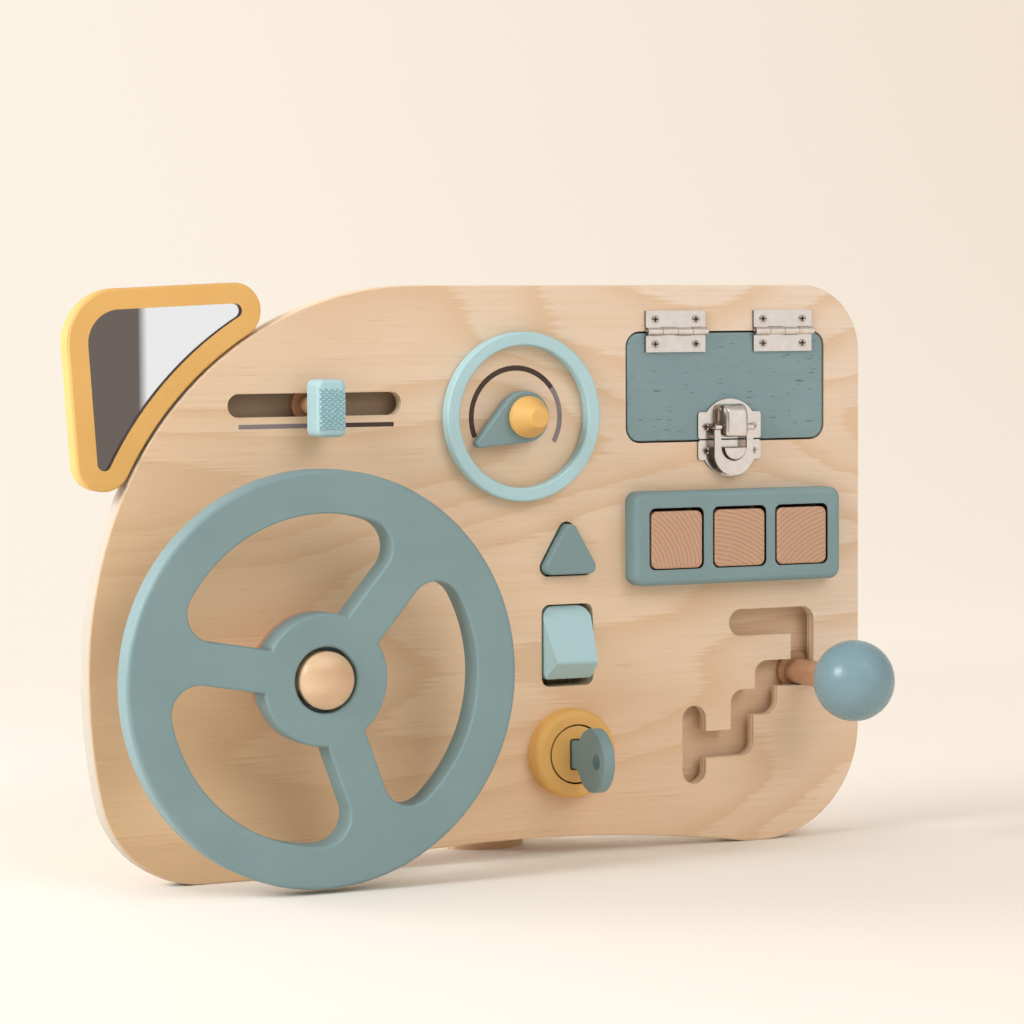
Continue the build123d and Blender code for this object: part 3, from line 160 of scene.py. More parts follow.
# %% [markdown]
# ## Clear plywood
#
# The board is faced with a rotary-cut veneer: the knife peels the log, so it cuts each ring at a flat
# angle and the rings show as long loops along the grain, with much finer fibres between them. An image
# texture would tile and could not follow the edges, so the figure is computed. A slow noise, stretched
# along X, stands for the depth of the cut in the log. Its level lines are the rings: the fractional
# part of the depth rises gently through pale early wood and drops sharply after the late wood. Finer
# noises give fibres and pores. A painted light gradient runs over the sheet, yellower at its lower left and
# paler at its upper right, standing in for how the light falls across the face. On the edges the plies show
# as thin layers. The long left edge has a painted shade, a greyer and darker tone in which the plies are
# faint.

# %% Plywood
SHADE_FROM, SHADE_TO = 0.180, 0.188  # heights between which the core board takes its painted shade, a darker tone
PAINTED_SHADE_TO, LAYERED_FROM = -0.140, -0.125  # X where the painted shade on the left edge ends and the plies show


def make_plywood(name, light, pale, late, shade=None):
    """Veneer from light at the board's lower left to pale at its upper right, a painted light gradient, with
    late wood in the rings.

    shade, if given, is a painted shade: the darker tone of the wood above SHADE_TO.
    """
    tree = Tree(name, roughness=0.55, **{"Specular IOR Level": 0.3})
    across = tree.add("SeparateXYZ", {"Vector": tree.place}).outputs["X"]
    painted_light_slope = tree.add("VectorMath", {0: tree.place, 1: (1.0, 0.0, 1.2)}, operation="DOT_PRODUCT")
    # Painted light: the tone runs from light at the lower left to pale at the upper right.
    light = tree.mix(tree.span(painted_light_slope.outputs["Value"], -0.05, 0.38), light, pale)
    depth = tree.noise(tree.stretched((2.6, 2.6, 8.0), location=(0.37, 0.0, 0.12)), detail=1.6,
                       roughness=0.45)
    fibres = tree.noise(tree.stretched((10.0, 90.0, 620.0)), detail=4.0, roughness=0.62)
    counted = tree.add("Math", {0: depth, 1: 19.0}, operation="MULTIPLY").outputs["Value"]
    ragged = tree.add("Math", {0: fibres, 1: 0.5, 2: counted}, operation="MULTIPLY_ADD").outputs["Value"]
    rings = tree.add("Math", {0: ragged}, operation="FRACT").outputs["Value"]
    ringed = tree.mix(tree.ramp(rings, (0.0, (0, 0, 0, 1)), (0.5, (0.10, 0.10, 0.10, 1)),
                                (0.9, (0.62, 0.62, 0.62, 1)), (1.0, (0, 0, 0, 1))), light, late)
    drift = tree.noise(tree.stretched((5.0, 3.0, 11.0), location=(0.1, 0.0, 0.6)), detail=2.0)
    toned = tree.mix(tree.span(drift, 0.4, 0.7, 0.0, 0.45), ringed, late)
    fibred = tree.mix(tree.span(fibres, 0.36, 0.6, 0.3, 0.0), toned, late)
    pores = tree.noise(tree.stretched((50.0, 300.0, 1100.0)), detail=2.0)
    pored = tree.mix(tree.span(pores, 0.63, 0.72, 0.0, 0.22), fibred, chart(168, 122, 84))
    # Painted shade: above SHADE_TO the core is darker, where it shows only as the floor of the slider's
    # narrow track.
    if shade:
        height = tree.add("SeparateXYZ", {"Vector": tree.place}).outputs["Z"]
        pored = tree.mix(tree.span(height, SHADE_FROM, SHADE_TO), pored, shade)
    plies = tree.add("TexWave", {"Vector": tree.stretched((3.0, 1.0, 3.0)), "Scale": 105.0,
                                 "Distortion": 0.6},
                     wave_type="BANDS", bands_direction="Y", wave_profile="SIN").outputs["Fac"]
    facing = tree.add("SeparateXYZ", {"Vector": tree.add("NewGeometry").outputs["Normal"]}).outputs["Y"]
    edge = tree.span(tree.add("Math", {0: facing}, operation="ABSOLUTE").outputs["Value"], 0.5, 0.8, 1.0, 0.0)
    layered = tree.mix(tree.span(plies, 0.3, 0.8, 0.0, 0.6), chart(236, 218, 194), chart(202, 166, 128))
    # Painted shade: the long left edge gets a greyer, darker tone with fainter plies.
    painted_shade_edge = tree.mix(tree.span(plies, 0.3, 0.8, 0.0, 0.25), chart(184, 175, 163), chart(177, 166, 151))
    edged = tree.mix(tree.span(across, PAINTED_SHADE_TO, LAYERED_FROM), painted_shade_edge, layered)
    return tree.feed(Base_Color=tree.mix(edge, pored, edged), Normal=tree.bump(fibres, 0.00010, 0.3))


finishes["plywood"] = make_plywood("plywood", chart(232, 197, 156), chart(231, 215, 200),
                                   chart(214, 177, 138))
finishes["core_plywood"] = make_plywood("core_plywood", chart(226, 196, 166), chart(226, 198, 170),
                                        chart(206, 170, 136), shade=chart(150, 128, 108))
print("made", finishes["plywood"].name, "and", finishes["core_plywood"].name)

# %% [markdown]
# ## Painted wood
#
# Teal, aqua and yellow pieces are sprayed with a thin matt paint, the gear ball with a glossier one. It
# hides the colour of the wood but not quite its grain, and it pools a little, so the tone drifts by a few
# per cent over a centimetre. A plain colour would look like plastic. One function makes all the paints: a
# drift of tone, a faint lengthwise grain in colour and height, and a pebbled spray texture in the bump.

# %% Paints
def make_paint(name, color, deep, grain=0.10, flecks=0.0, roughness=0.5):
    """Paint that drifts from color to deep. grain and flecks say how much of the wood shows through."""
    tree = Tree(name, roughness=roughness, **{"Specular IOR Level": 0.4})
    drift = tree.noise(tree.stretched((28.0, 28.0, 40.0)), detail=3.0)
    toned = tree.mix(tree.span(drift, 0.35, 0.68, 0.0, 0.5), color, deep)
    grained = tree.noise(tree.stretched((22.0, 160.0, 520.0)), detail=3.0, roughness=0.6)
    streaked = tree.mix(tree.span(grained, 0.45, 0.75, 0.0, grain * 2), toned, deep)
    if flecks:
        dashes = tree.noise(tree.stretched((150.0, 150.0, 1100.0)), detail=1.0)
        streaked = tree.mix(tree.span(dashes, 0.66, 0.72, 0.0, flecks), streaked, chart(62, 74, 76))
    pebbles = tree.noise(tree.place, scale=1400.0, detail=1.0)
    normal = tree.bump(grained, 0.00010, 0.30)
    normal = tree.bump(pebbles, 0.00003, 0.35, below=normal)
    sheen = tree.span(pebbles, 0.3, 0.7, roughness - 0.05, roughness + 0.08)
    return tree.feed(Base_Color=streaked, Normal=normal, Roughness=sheen)


finishes["teal"] = make_paint("teal_paint", chart(125, 151, 155), chart(116, 142, 146))
finishes["teal_door"] = make_paint("teal_door_paint", chart(128, 153, 158), chart(116, 141, 146), grain=0.2,
                                   flecks=0.6)
finishes["teal_gloss"] = make_paint("teal_gloss_paint", chart(125, 155, 166), chart(117, 146, 157),
                                    grain=0.04, roughness=0.26)
finishes["aqua"] = make_paint("aqua_paint", chart(173, 207, 214), chart(164, 199, 207))
finishes["yellow"] = make_paint("yellow_paint", chart(226, 177, 102), chart(218, 166, 89), grain=0.08)
# Painted shade: a dark brown for the narrow walls and hollows where shade falls.
finishes["painted_gap_shade"] = make_paint("painted_gap_shade_paint", chart(56, 36, 22), chart(46, 28, 16))
print("paints:", [key for key in finishes if "plywood" not in key])

# %% [markdown]
# ## Solid beech and its end grain
#
# Turned pieces and the three square buttons are bare hardwood. Along the grain it has fine straight
# lines. Across it, the end grain shows rings. A ring wave about an axis far outside the piece gives
# arcs of the right curvature, and moving that axis for each button makes three different blocks.

# %% Beech
def make_beech(name, light, dark):
    tree = Tree(name, roughness=0.32, **{"Specular IOR Level": 0.5})
    drift = tree.noise(tree.stretched((20.0, 60.0, 90.0)), detail=2.0)
    lines = tree.noise(tree.stretched((30.0, 700.0, 700.0)), detail=3.0, roughness=0.65)
    toned = tree.mix(tree.span(drift, 0.35, 0.7), light, dark)
    lined = tree.mix(tree.span(lines, 0.5, 0.75, 0.0, 0.45), toned, dark)
    return tree.feed(Base_Color=lined, Normal=tree.bump(lines, 0.00006, 0.3))


def make_end_grain(name, pith):
    """Button face with rings about the point pith, (x, z) in metres in the board's frame."""
    tree = Tree(name, roughness=0.55, **{"Specular IOR Level": 0.3})
    centred = tree.stretched((1.0, 1.0, 1.0), location=(-pith[0], 0.0, -pith[1]))
    rings = tree.add("TexWave", {"Vector": centred, "Scale": 165.0, "Distortion": 3.0, "Detail": 4.0,
                                 "Detail Scale": 2.0, "Detail Roughness": 0.7},
                     wave_type="RINGS", rings_direction="Y", wave_profile="SAW").outputs["Fac"]
    pores = tree.noise(tree.place, scale=2200.0, detail=1.0)
    ringed = tree.ramp(rings, (0.0, chart(200, 163, 138)), (0.6, chart(192, 152, 126)),
                       (0.93, chart(172, 131, 104)), (1.0, chart(198, 160, 135)))
    pored = tree.mix(tree.span(pores, 0.56, 0.7, 0.0, 0.35), ringed, chart(150, 106, 80))
    return tree.feed(Base_Color=pored, Normal=tree.bump(rings, 0.00004, 0.2))


finishes["beech"] = make_beech("beech", chart(220, 189, 156), chart(202, 164, 127))
# Painted shade: the same beech made darker for the stems, post, spacer and retainers that sit in shade behind
# other pieces.
finishes["beech_painted_shade"] = make_beech("beech_painted_shade", chart(191, 149, 117), chart(165, 121, 91))
BUTTON_PITH = {"button_left": (0.062, 0.124), "button_centre": (0.104, 0.094),
               "button_right": (0.178, 0.094)}
for button, pith in BUTTON_PITH.items():
    finishes[button] = make_end_grain(button + "_end_grain", pith)
print("end grain for", list(BUTTON_PITH))

# %% [markdown]
# ## Metals and mirror
#
# Hinges and latch are pressed steel with a nickel plating, which is bright, slightly warm and a little
# uneven. Their walls and flanks get a darker steel, a painted shade and painted dark reflection. A metal's
# look is what it reflects, so most of the work is done by
# the lights and cards. The noise in the roughness only breaks up the highlights. The hidden hardware is
# duller zinc.

# %% Metals
def make_metal(name, color, roughness, spread, dulled=0.3):
    """Metal whose roughness varies by spread either way, and whose clouds of tarnish reach dulled."""
    tree = Tree(name, roughness=roughness, metallic=1.0)
    clouds = tree.noise(tree.place, scale=260.0, detail=3.0)
    uneven = tree.span(clouds, 0.3, 0.7, roughness - spread, roughness + spread)
    tint = tree.mix(tree.span(clouds, 0.3, 0.8, 0.0, dulled), color, chart(196, 182, 170))
    return tree.feed(Base_Color=tint, Roughness=uneven)


finishes["nickel"] = make_metal("nickel_plating", chart(230, 222, 215), 0.21, 0.03)
finishes["screw_steel"] = make_metal("screw_steel", chart(208, 198, 189), 0.26, 0.05)
# Painted shade and painted dark reflection: a darker steel for the walls and flanks of the pressed parts.
finishes["steel_painted_shade"] = make_metal("steel_painted_shade", chart(112, 102, 94), 0.34, 0.06, dulled=0.1)
finishes["zinc"] = make_metal("zinc_plating", chart(200, 200, 198), 0.38, 0.08)
finishes["mirror"] = make_metal("mirror_sheet", chart(244, 245, 246), 0.004, 0.001, dulled=0.01)
print("metals:", finishes["nickel"].name, finishes["zinc"].name, finishes["mirror"].name)

# %% [markdown]
# ## Ink
#
# The scale beside the slider and the one round the dial are printed straight on the veneer. The ink is
# matt and thin, so the fibres still show through it as slight breaks in the tone.

# %% Inks
def make_ink(name, color, worn):
    tree = Tree(name, roughness=0.7, **{"Specular IOR Level": 0.2})
    fibres = tree.noise(tree.stretched((12.0, 60.0, 500.0)), detail=3.0)
    return tree.feed(Base_Color=tree.mix(tree.span(fibres, 0.4, 0.75, 0.0, 0.5), color, worn),
                     Normal=tree.bump(fibres, 0.00005, 0.2))


finishes["dark_ink"] = make_ink("dark_ink", chart(74, 60, 54), chart(96, 79, 70))
finishes["grey_ink"] = make_ink("grey_ink", chart(134, 124, 128), chart(150, 138, 136))
print("inks ready")

# %% [markdown]
# ## Which solid gets which finish
#
# Most solids already have their real shape, rounded edges included, so they only need a finish. The
# finish could be set solid by solid. One table by finish is shorter and shows at a glance what is made of
# what.

# %% Finish of each solid
SOLIDS = {
    "plywood": ("front_board", "back_panel", "mirror_back", "foot_upright", "foot_sole"),
    "core_plywood": ("core_board",),
    "beech": ("wheel_axle", "mirror_dowels"),
    "beech_painted_shade": ("wheel_post", "wheel_spacer", "slider_stem", "gear_rod", "slider_retainer",
                   "gear_retainer", "lock_retainer"),
    "teal": ("steering_wheel", "button_panel", "triangle_button", "dial_pointer", "key"),
    "teal_gloss": ("gear_ball",),
    "teal_door": ("door",),
    "aqua": ("dial_ring", "rocker", "slider_knob"),
    "yellow": ("mirror_frame", "dial_knob", "lock_base", "lock_cylinder"),
    "mirror": ("mirror_glass",),
    "nickel": ("hinge_left_board_leaf", "hinge_left_door_leaf", "hinge_left_pin", "hinge_right_board_leaf",
               "hinge_right_door_leaf", "hinge_right_pin", "latch_door_plate", "latch_catch_plate",
               "latch_lever", "latch_loop", "latch_lever_pin", "latch_loop_pin"),
    "screw_steel": ("board_fitting_screws", "door_fitting_screws"),
    "zinc": ("assembly_screws", "foot_screws", "axle_screw", "slider_screw", "gear_screw", "lock_screw",
             "dial_spindle", "dial_washer", "rocker_pin", "button_left_spring", "button_centre_spring",
             "button_right_spring", "triangle_button_spring"),
    "button_left": ("button_left",),
    "button_centre": ("button_centre",),
    "button_right": ("button_right",),
}
print("solids with a finish:", sum(len(nodes) for nodes in SOLIDS.values()))

# %% [markdown]
# ## Dressing the solids
#
# The solids' meshes are loose triangles, which would shade as facets. A merged copy with its flat areas
# joined into single faces, smooth shading and weighted normals keeps flat faces flat and round ones round.
# The copy then stands for the solid.

# %% Dress the solids
def place(bm, name, finish, body, angle=32):
    """Turns a bmesh into a piece that shades smoothly and rides on a body."""
    mesh = bpy.data.meshes.new(name)
    bm.to_mesh(mesh)
    bm.free()
    mesh.shade_smooth()
    mesh.set_sharp_from_angle(angle=radians(angle))
    mesh.materials.append(finishes[finish])
    piece = bpy.data.objects.new(name, mesh)
    bpy.context.scene.collection.objects.link(piece)
    weighted = piece.modifiers.new("flat_faces_stay_flat", "WEIGHTED_NORMAL")
    weighted.keep_sharp = True
    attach(piece, body)
    return piece


def dress(node, finish, angle=32):
    """A merged, smooth copy of one solid of the frame, which then stands for it."""
    source = frame["nodes"][node]
    bm = bmesh.new()
    bm.from_mesh(source.data)
    bmesh.ops.remove_doubles(bm, verts=bm.verts, dist=1e-6)
    bmesh.ops.dissolve_limit(bm, angle_limit=radians(0.2), verts=bm.verts, edges=bm.edges)
    piece = place(bm, node + ".finished", finish, source["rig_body"], angle)
    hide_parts(node)
    return piece


finished = {}
for finish, nodes in SOLIDS.items():
    for node in nodes:
        frame["nodes"][node].data.materials.clear()
        frame["nodes"][node].data.materials.append(finishes[finish])
        finished[node] = dress(node, finish)
print("finished", len(finished), "of", len(frame["nodes"]), "solids")
print("largest piece:", max(len(piece.data.polygons) for piece in finished.values()), "faces")

# %% [markdown]
# ## Painted shade in gaps and on steel flanks
#
# Some faces of a solid differ from the rest. The walls of the mirror's rim, of the button wells and of the
# lock's bore, and the walls and crosses of the screws, take a dark brown that is painted shade, where shade
# falls in these narrow hollows. The walls and flanks of the pressed steel take a darker steel that is painted
# shade and painted dark reflection. Painting a mask would tie the finish to one mesh. Here the faces are
# picked by where they lie and which way they look, and are given a second material, so the pick still holds
# when a solid is tessellated anew.

# %% Refinish chosen faces
def refinish(node, finish, chosen):
    """Gives another finish to the faces that chosen(normal, middle, depths) picks, with lengths in mm."""
    mesh = finished[node].data
    mesh.materials.append(finishes[finish])
    for face in mesh.polygons:
        depths = [mesh.vertices[i].co.y / MM for i in face.vertices]
        if chosen(face.normal, face.center / MM, depths):
            face.material_index = 1
    print(finish, "on", sum(face.material_index for face in mesh.polygons), "faces of", node)


def box_middle(node):
    """Middle of a solid's box, in mm."""
    corners = [Vector(corner) for corner in frame["nodes"][node].bound_box]
    return sum(corners, Vector()) / len(corners) / MM


def is_wall(normal):
    return abs(normal.y) < 0.3


RIM_DEPTH = 2.1  # the mirror lies this deep in its frame
WELLS_REACH_X, WELLS_REACH_Z = 49, 17  # the button wells lie within this of the panel's middle
BORE_REACH = 14  # and the lock's bore within this of its base's middle
CROSS_FLOOR = -0.9  # the floor of a screw's cross lies deeper than this
panel, lock = box_middle("button_panel"), box_middle("lock_base")
# Painted shade: dark walls in the mirror's rim, the button wells and the lock's bore.
refinish("mirror_frame", "painted_gap_shade", lambda normal, middle, depths:
         is_wall(normal) and min(depths) > -0.1 and max(depths) < RIM_DEPTH)
refinish("button_panel", "painted_gap_shade", lambda normal, middle, depths:
         is_wall(normal) and abs(middle.x - panel.x) < WELLS_REACH_X
         and abs(middle.z - panel.z) < WELLS_REACH_Z)
refinish("lock_base", "painted_gap_shade", lambda normal, middle, depths:
         is_wall(normal) and hypot(middle.x - lock.x, middle.z - lock.z) < BORE_REACH)
# Painted shade: the screws' walls and the floors of their crosses.
for node in ("board_fitting_screws", "door_fitting_screws"):
    refinish(node, "painted_gap_shade", lambda normal, middle, depths: is_wall(normal) or middle.y > CROSS_FLOOR)
# Painted shade and painted dark reflection on the walls of the latch's plates and loop.
for node in ("latch_loop", "latch_door_plate", "latch_catch_plate"):
    refinish(node, "steel_painted_shade", lambda normal, middle, depths: is_wall(normal))
# Painted shade and painted dark reflection on the side flanks of the hinge leaves and the lever.
for node in SOLIDS["nickel"]:
    if "leaf" in node or node == "latch_lever":
        refinish(node, "steel_painted_shade", lambda normal, middle, depths: abs(normal.x) > 0.7)

# %% [markdown]
# ## Printed scales
#
# Print has no thickness to speak of, but two faces in one plane flicker, so the ink is given a skin of
# a few hundredths of a millimetre. A bar is a flattened cube. The dial's scale starts as the outline of
# the line's cross-section, which a spin sweeps round the scale's own centre. That centre lies about a
# millimetre to the left of the dial's axis.

# %% Print the scales
INK_T = 0.06 * MM
BAR_X0, BAR_CHANGE_X, BAR_X1 = -114.7, -79.0, -43.7  # the slider's scale is grey, then dark
BAR_Z0, BAR_Z1 = 190.8, 192.7
ARC_CENTRE = Vector((14.3, 0.0, 193.7)) * MM
ARC_INNER, ARC_OUTER = 20.2 * MM, 22.5 * MM
ARC_START, ARC_CHANGE, ARC_END = 203, 36, -31  # degrees: the dial's scale is dark, then grey


def print_bar(name, finish, x0, x1, z0, z1):
    """Flat bar on the board's face, between these edges in mm."""
    bm = bmesh.new()
    bmesh.ops.create_cube(bm, size=1.0)
    bmesh.ops.scale(bm, vec=((x1 - x0) * MM, INK_T, (z1 - z0) * MM), verts=bm.verts)
    bmesh.ops.translate(bm, vec=((x0 + x1) / 2 * MM, -INK_T / 2, (z0 + z1) / 2 * MM), verts=bm.verts)
    return place(bm, name, finish, "board")


def print_arc(name, finish, centre, inner, outer, start, end):
    """Part of a ring, swept clockwise from start to end, in degrees from +X towards +Z."""
    bm = bmesh.new()
    direction = Vector((cos(radians(start)), 0.0, sin(radians(start))))
    corners = [bm.verts.new(centre + direction * radius + Vector((0.0, depth, 0.0)))
               for radius, depth in ((inner, -INK_T), (outer, -INK_T), (outer, 0.0), (inner, 0.0))]
    loop = [bm.edges.new((corners[i], corners[(i + 1) % 4])) for i in range(4)]
    swept = bmesh.ops.spin(bm, geom=corners + loop, cent=centre, axis=(0, 1, 0),
                           angle=radians(start - end), steps=72)
    ends = [edge for edge in swept["geom_last"] if isinstance(edge, bmesh.types.BMEdge)]
    bmesh.ops.holes_fill(bm, edges=ends + loop, sides=4)
    bmesh.ops.recalc_face_normals(bm, faces=bm.faces)
    return place(bm, name, finish, "board")


print_bar("slider_scale_grey", "grey_ink", BAR_X0, BAR_CHANGE_X, BAR_Z0, BAR_Z1)
print_bar("slider_scale_dark", "dark_ink", BAR_CHANGE_X, BAR_X1, BAR_Z0, BAR_Z1)
print_arc("dial_scale_dark", "dark_ink", ARC_CENTRE, ARC_INNER, ARC_OUTER, ARC_START, ARC_CHANGE)
print_arc("dial_scale_grey", "grey_ink", ARC_CENTRE, ARC_INNER, ARC_OUTER, ARC_CHANGE, ARC_END)

# %% [markdown]
# ## Grip of the slider
#
# The slider's knob has a field of small pyramids pressed or cut into its face, so that a wet finger
# holds. They could be cut one by one, or come from a bump map, which has no outline. Here a square grid
# is turned by 45 degrees and squeezed, so its cells are diamonds. Poking lifts the middle of each cell
# to a point, and four planes cut the field to its rectangle.

# %% Slider grip
def knurl_field(name, finish, body, centre, width, height, across, along, rise):
    """Field of pyramids facing -Y. across and along are the diagonals of one diamond."""
    bm = bmesh.new()
    cells = int(1.5 * max(width / across, height / along)) + 2
    bmesh.ops.create_grid(bm, x_segments=cells, y_segments=cells, size=cells / 2)
    bmesh.ops.poke(bm, faces=bm.faces, offset=0.0)
    # A poked middle has four faces round it, and a corner of the grid has eight or lies on its rim.
    for vert in bm.verts:
        vert.co.z = 0.0 if len(vert.link_faces) > 4 or vert.is_boundary else 1.0
    bmesh.ops.rotate(bm, cent=(0, 0, 0), matrix=Matrix.Rotation(pi / 4, 3, "Z"), verts=bm.verts)
    bmesh.ops.scale(bm, vec=(across / 2 ** 0.5, along / 2 ** 0.5, rise), verts=bm.verts)
    for normal, half in (((1, 0, 0), width), ((-1, 0, 0), width), ((0, 1, 0), height), ((0, -1, 0), height)):
        bmesh.ops.bisect_plane(bm, geom=bm.verts[:] + bm.edges[:] + bm.faces[:], clear_outer=True,
                               plane_co=Vector(normal) * half / 2, plane_no=normal)
    bmesh.ops.rotate(bm, cent=(0, 0, 0), matrix=Matrix.Rotation(pi / 2, 3, "X"), verts=bm.verts)
    bmesh.ops.translate(bm, vec=centre, verts=bm.verts)
    rim = [edge for edge in bm.edges if edge.is_boundary]
    skirt = bmesh.ops.extrude_edge_only(bm, edges=rim)
    hem = [vert for vert in skirt["geom"] if isinstance(vert, bmesh.types.BMVert)]
    bmesh.ops.translate(bm, vec=(0, 0.4 * MM, 0), verts=hem)
    bmesh.ops.recalc_face_normals(bm, faces=bm.faces)
    return place(bm, name, finish, body, angle=15)


grip = knurl_field("slider_grip", "aqua", "slider", centre=Vector((-80.5, -20.0, 199.2)) * MM,
                   width=11.6 * MM, height=17.0 * MM, across=2.6 * MM, along=2.0 * MM, rise=1.2 * MM)
print("grip of", len(grip.data.polygons), "faces")

# %% [markdown]
# ## Studio
#
# The board stands on a pale sweep: a floor that curves up into a wall, so there is no horizon. A sweep
# is one profile of three runs, extruded sideways and rounded with a bevel.

# %% Sweep
def make_sweep_finish():
    tree = Tree("cream_sweep", roughness=0.85, **{"Specular IOR Level": 0.1})
    mottle = tree.noise(tree.place, scale=1.4, detail=1.0)
    paper = tree.mix(tree.span(mottle, 0.3, 0.7), chart(245, 238, 230), chart(242, 234, 225))
    tree.feed(Base_Color=paper)
    # Away from the board the paper is seen as evenly pale but for a painted shade, warmer and a little darker
    # towards the right. It still gives and takes light as paper.
    away = tree.add("VectorMath", {0: tree.place}, operation="LENGTH").outputs["Value"]
    rays = tree.add("LightPath").outputs
    side = tree.add("SeparateXYZ", {"Vector": tree.place}).outputs
    behind = tree.span(side["Y"], 0.3, 0.9)
    mirrored = tree.add("Math", {0: rays["Is Glossy Ray"], 1: behind}, operation="MULTIPLY").outputs["Value"]
    seen = tree.add("Math", {0: rays["Is Camera Ray"], 1: mirrored}, operation="MAXIMUM")
    even = tree.add("Math", {0: tree.span(away, 0.25, 1.1, 0.0, 0.85), 1: seen.outputs["Value"]},
                    operation="MULTIPLY")
    # Painted shade: the glow turns warmer and a little darker towards the right.
    warm_painted_shade = tree.mix(tree.span(side["X"], 0.5, 1.7), chart(254, 244, 230), chart(246, 231, 214))
    glow = tree.add("Emission", {"Color": warm_painted_shade, "Strength": 1.0})
    blend = tree.add("MixShader", {0: even.outputs["Value"], 1: tree.shader.outputs["BSDF"],
                                   2: glow.outputs["Emission"]})
    tree.links.new(blend.outputs["Shader"], tree.nodes["Material Output"].inputs["Surface"])
    return tree.material


SWEEP_HALF_WIDTH, FLOOR_FRONT_Y, WALL_Y, WALL_TOP_Z, BEND = 6.0, -5.0, 2.4, 4.5, 1.3
bm = bmesh.new()
profile = [bm.verts.new((-SWEEP_HALF_WIDTH, y, z))
           for y, z in ((FLOOR_FRONT_Y, 0.0), (WALL_Y, 0.0), (WALL_Y, WALL_TOP_Z))]
line = [bm.edges.new(pair) for pair in zip(profile, profile[1:])]
wide = bmesh.ops.extrude_edge_only(bm, edges=line)
far_side = [vert for vert in wide["geom"] if isinstance(vert, bmesh.types.BMVert)]
bmesh.ops.translate(bm, vec=(2 * SWEEP_HALF_WIDTH, 0, 0), verts=far_side)
fold = [edge for edge in bm.edges
        if all(abs(vert.co.y - WALL_Y) < 1e-6 and abs(vert.co.z) < 1e-6 for vert in edge.verts)]
bmesh.ops.bevel(bm, geom=fold, offset=BEND, segments=24, profile=0.5, affect="EDGES", material=-1)
bmesh.ops.recalc_face_normals(bm, faces=bm.faces)
mesh = bpy.data.meshes.new("sweep")
bm.to_mesh(mesh)
bm.free()
mesh.shade_smooth()
mesh.materials.append(make_sweep_finish())
sweep = bpy.data.objects.new("sweep", mesh)
bpy.context.scene.collection.objects.link(sweep)
print("sweep of", len(mesh.polygons), "faces")

# %% [markdown]
# ## Lights
#
# The key is a large soft light high on the right and well to the front, so the wheel's shadow is short
# and falls to the left. The second, as large as a window, stands to the left and just grazes the face, so
# every piece has a bright, cool left side. The third stands behind the board's plane: it only reaches the
# outermost walls, puts a pale sheen on them, and darkens the floor in front. A warm world lights the shadows,
# and looks as pale as the sweep to the camera, should it ever see past the sweep's edge.

# %% Lamps and world
def soft_light(name, stand, size, watts, color):
    """Round lamp of this size that stands here and faces the middle of the board."""
    lamp = bpy.data.lights.new(name, "AREA")
    lamp.shape = "DISK"
    lamp.size = size
    lamp.energy = watts
    lamp.color = color
    holder = bpy.data.objects.new(name, lamp)
    holder.location = stand
    holder.rotation_euler = (BOARD_MIDDLE - Vector(stand)).to_track_quat("-Z", "Y").to_euler()
    bpy.context.scene.collection.objects.link(holder)


BOARD_MIDDLE = Vector((0.0, 0.0, 0.12))
soft_light("key", stand=(0.7, -2.8, 2.0), size=2.2, watts=34.5, color=(1.0, 0.99, 0.975))
soft_light("left_window", stand=(-2.3, -0.35, 1.3), size=1.1, watts=47.0, color=(0.94, 0.985, 1.0))
soft_light("left_back", stand=(-2.1, 1.3, 0.9), size=1.3, watts=34.0, color=(0.94, 0.965, 1.0))
world = bpy.data.worlds.new("studio")
world.use_nodes = True
nodes, links = world.node_tree.nodes, world.node_tree.links
dim = nodes["Background"]
dim.inputs["Color"].default_value = chart(255, 247, 236)
dim.inputs["Strength"].default_value = 0.55
behind_all = nodes.new("ShaderNodeBackground")
behind_all.inputs["Color"].default_value = chart(253, 243, 230)
seen = nodes.new("ShaderNodeMixShader")
links.new(nodes.new("ShaderNodeLightPath").outputs["Is Camera Ray"], seen.inputs[0])
links.new(dim.outputs["Background"], seen.inputs[1])
links.new(behind_all.outputs["Background"], seen.inputs[2])
links.new(seen.outputs["Shader"], nodes["World Output"].inputs["Surface"])
bpy.context.scene.world = world
print("lamps:", [lamp.name for lamp in bpy.data.lights])

# %% [markdown]
# ## Cards for the mirror and the metal
#
# A mirror shows what stands in front of it, and so do the hinges. One upright card faces the board from
# two metres away: dark on its left part and pale to the right, with a narrow soft change between.
# A second, plain dark one stands to the left of the board, and darkens the left flanks of the metal parts.
# Both are seen in reflections only and throw neither light nor shadow.

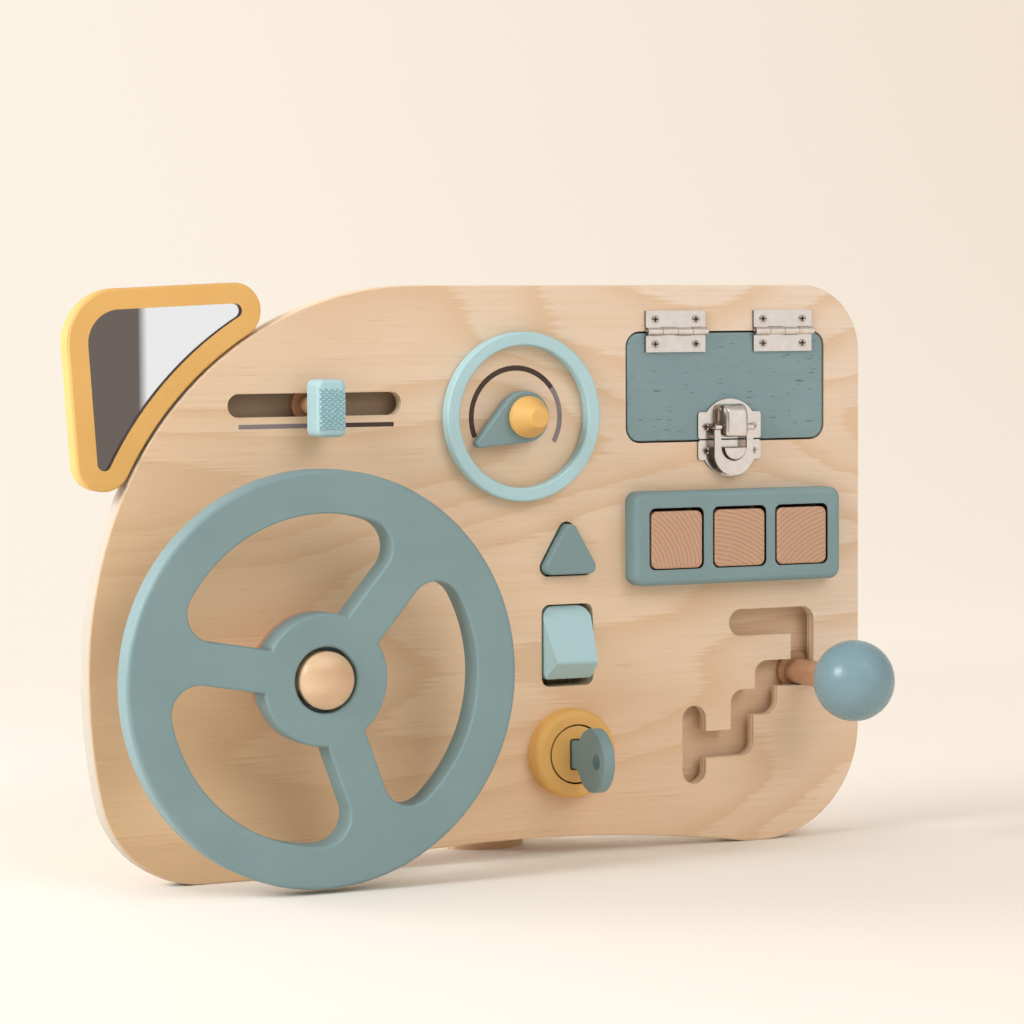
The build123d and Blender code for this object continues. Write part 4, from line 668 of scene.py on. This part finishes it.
# %% Reflection cards
def reflection_card(name, width, height, turn, middle, change, dark, pale):
    """Upright card that faces -Y and is then turned about Z; it is dark up to X = change and then pale."""
    bm = bmesh.new()
    bmesh.ops.create_grid(bm, x_segments=1, y_segments=1, size=0.5)
    bmesh.ops.rotate(bm, cent=(0, 0, 0), matrix=Matrix.Rotation(pi / 2, 3, "X"), verts=bm.verts)
    bmesh.ops.scale(bm, vec=(width, 1.0, height), verts=bm.verts)
    bmesh.ops.rotate(bm, cent=(0, 0, 0), matrix=Matrix.Rotation(radians(turn), 3, "Z"), verts=bm.verts)
    bmesh.ops.translate(bm, vec=middle, verts=bm.verts)
    mesh = bpy.data.meshes.new(name)
    bm.to_mesh(mesh)
    bm.free()
    glow = Tree(name + "_glow")
    across = glow.add("SeparateXYZ", {"Vector": glow.place}).outputs["X"]
    color = glow.mix(glow.span(across, change - CHANGE_HALF_WIDTH, change + CHANGE_HALF_WIDTH), dark, pale)
    emission = glow.add("Emission", {"Color": color, "Strength": 1.0})
    glow.links.new(emission.outputs["Emission"], glow.nodes["Material Output"].inputs["Surface"])
    mesh.materials.append(glow.material)
    piece = bpy.data.objects.new(name, mesh)
    bpy.context.scene.collection.objects.link(piece)
    for kind in ("camera", "diffuse", "shadow", "transmission", "volume_scatter"):
        setattr(piece, "visible_" + kind, False)


CHANGE_HALF_WIDTH = 0.005
PALE = chart(245, 244, 243)
reflection_card("front_card", width=3.1, height=2.5, turn=0.0, middle=(1.25, -2.0, 0.65),
                change=0.5655, dark=chart(114, 103, 97), pale=PALE)
# The left card lies wholly on the dark side of its change.
reflection_card("left_card", width=1.7, height=1.2, turn=90.0, middle=(-1.6, -0.55, 0.2),
                change=1.0, dark=chart(70, 60, 54), pale=PALE)
print("cards ready")

# %% [markdown]
# ## Camera
#
# A long lens from the left of the board, at about its own height and looking slightly down.

# %% Camera
PAN, TILT_DOWN, ROLL = radians(-25.84), radians(3.25), radians(-0.30)
camera_data = bpy.data.cameras.new("camera")
camera_data.sensor_width = 36.0
camera_data.lens = 122.7
camera_data.clip_start = 0.05
camera = bpy.data.objects.new("camera", camera_data)
stand = Matrix.Translation((-0.64866, -1.36482, 0.23856))
pan = Matrix.Rotation(PAN, 4, "Z")
tilt = Matrix.Rotation(pi / 2 - TILT_DOWN, 4, "X")
roll = Matrix.Rotation(ROLL, 4, "Z")
camera.matrix_world = stand @ pan @ tilt @ roll
bpy.context.scene.collection.objects.link(camera)
bpy.context.scene.camera = camera
bpy.context.scene.view_settings.view_transform = "Standard"
print("camera at", [round(value, 3) for value in camera.matrix_world.translation])

# %% [markdown]
#

print("scene dressed")
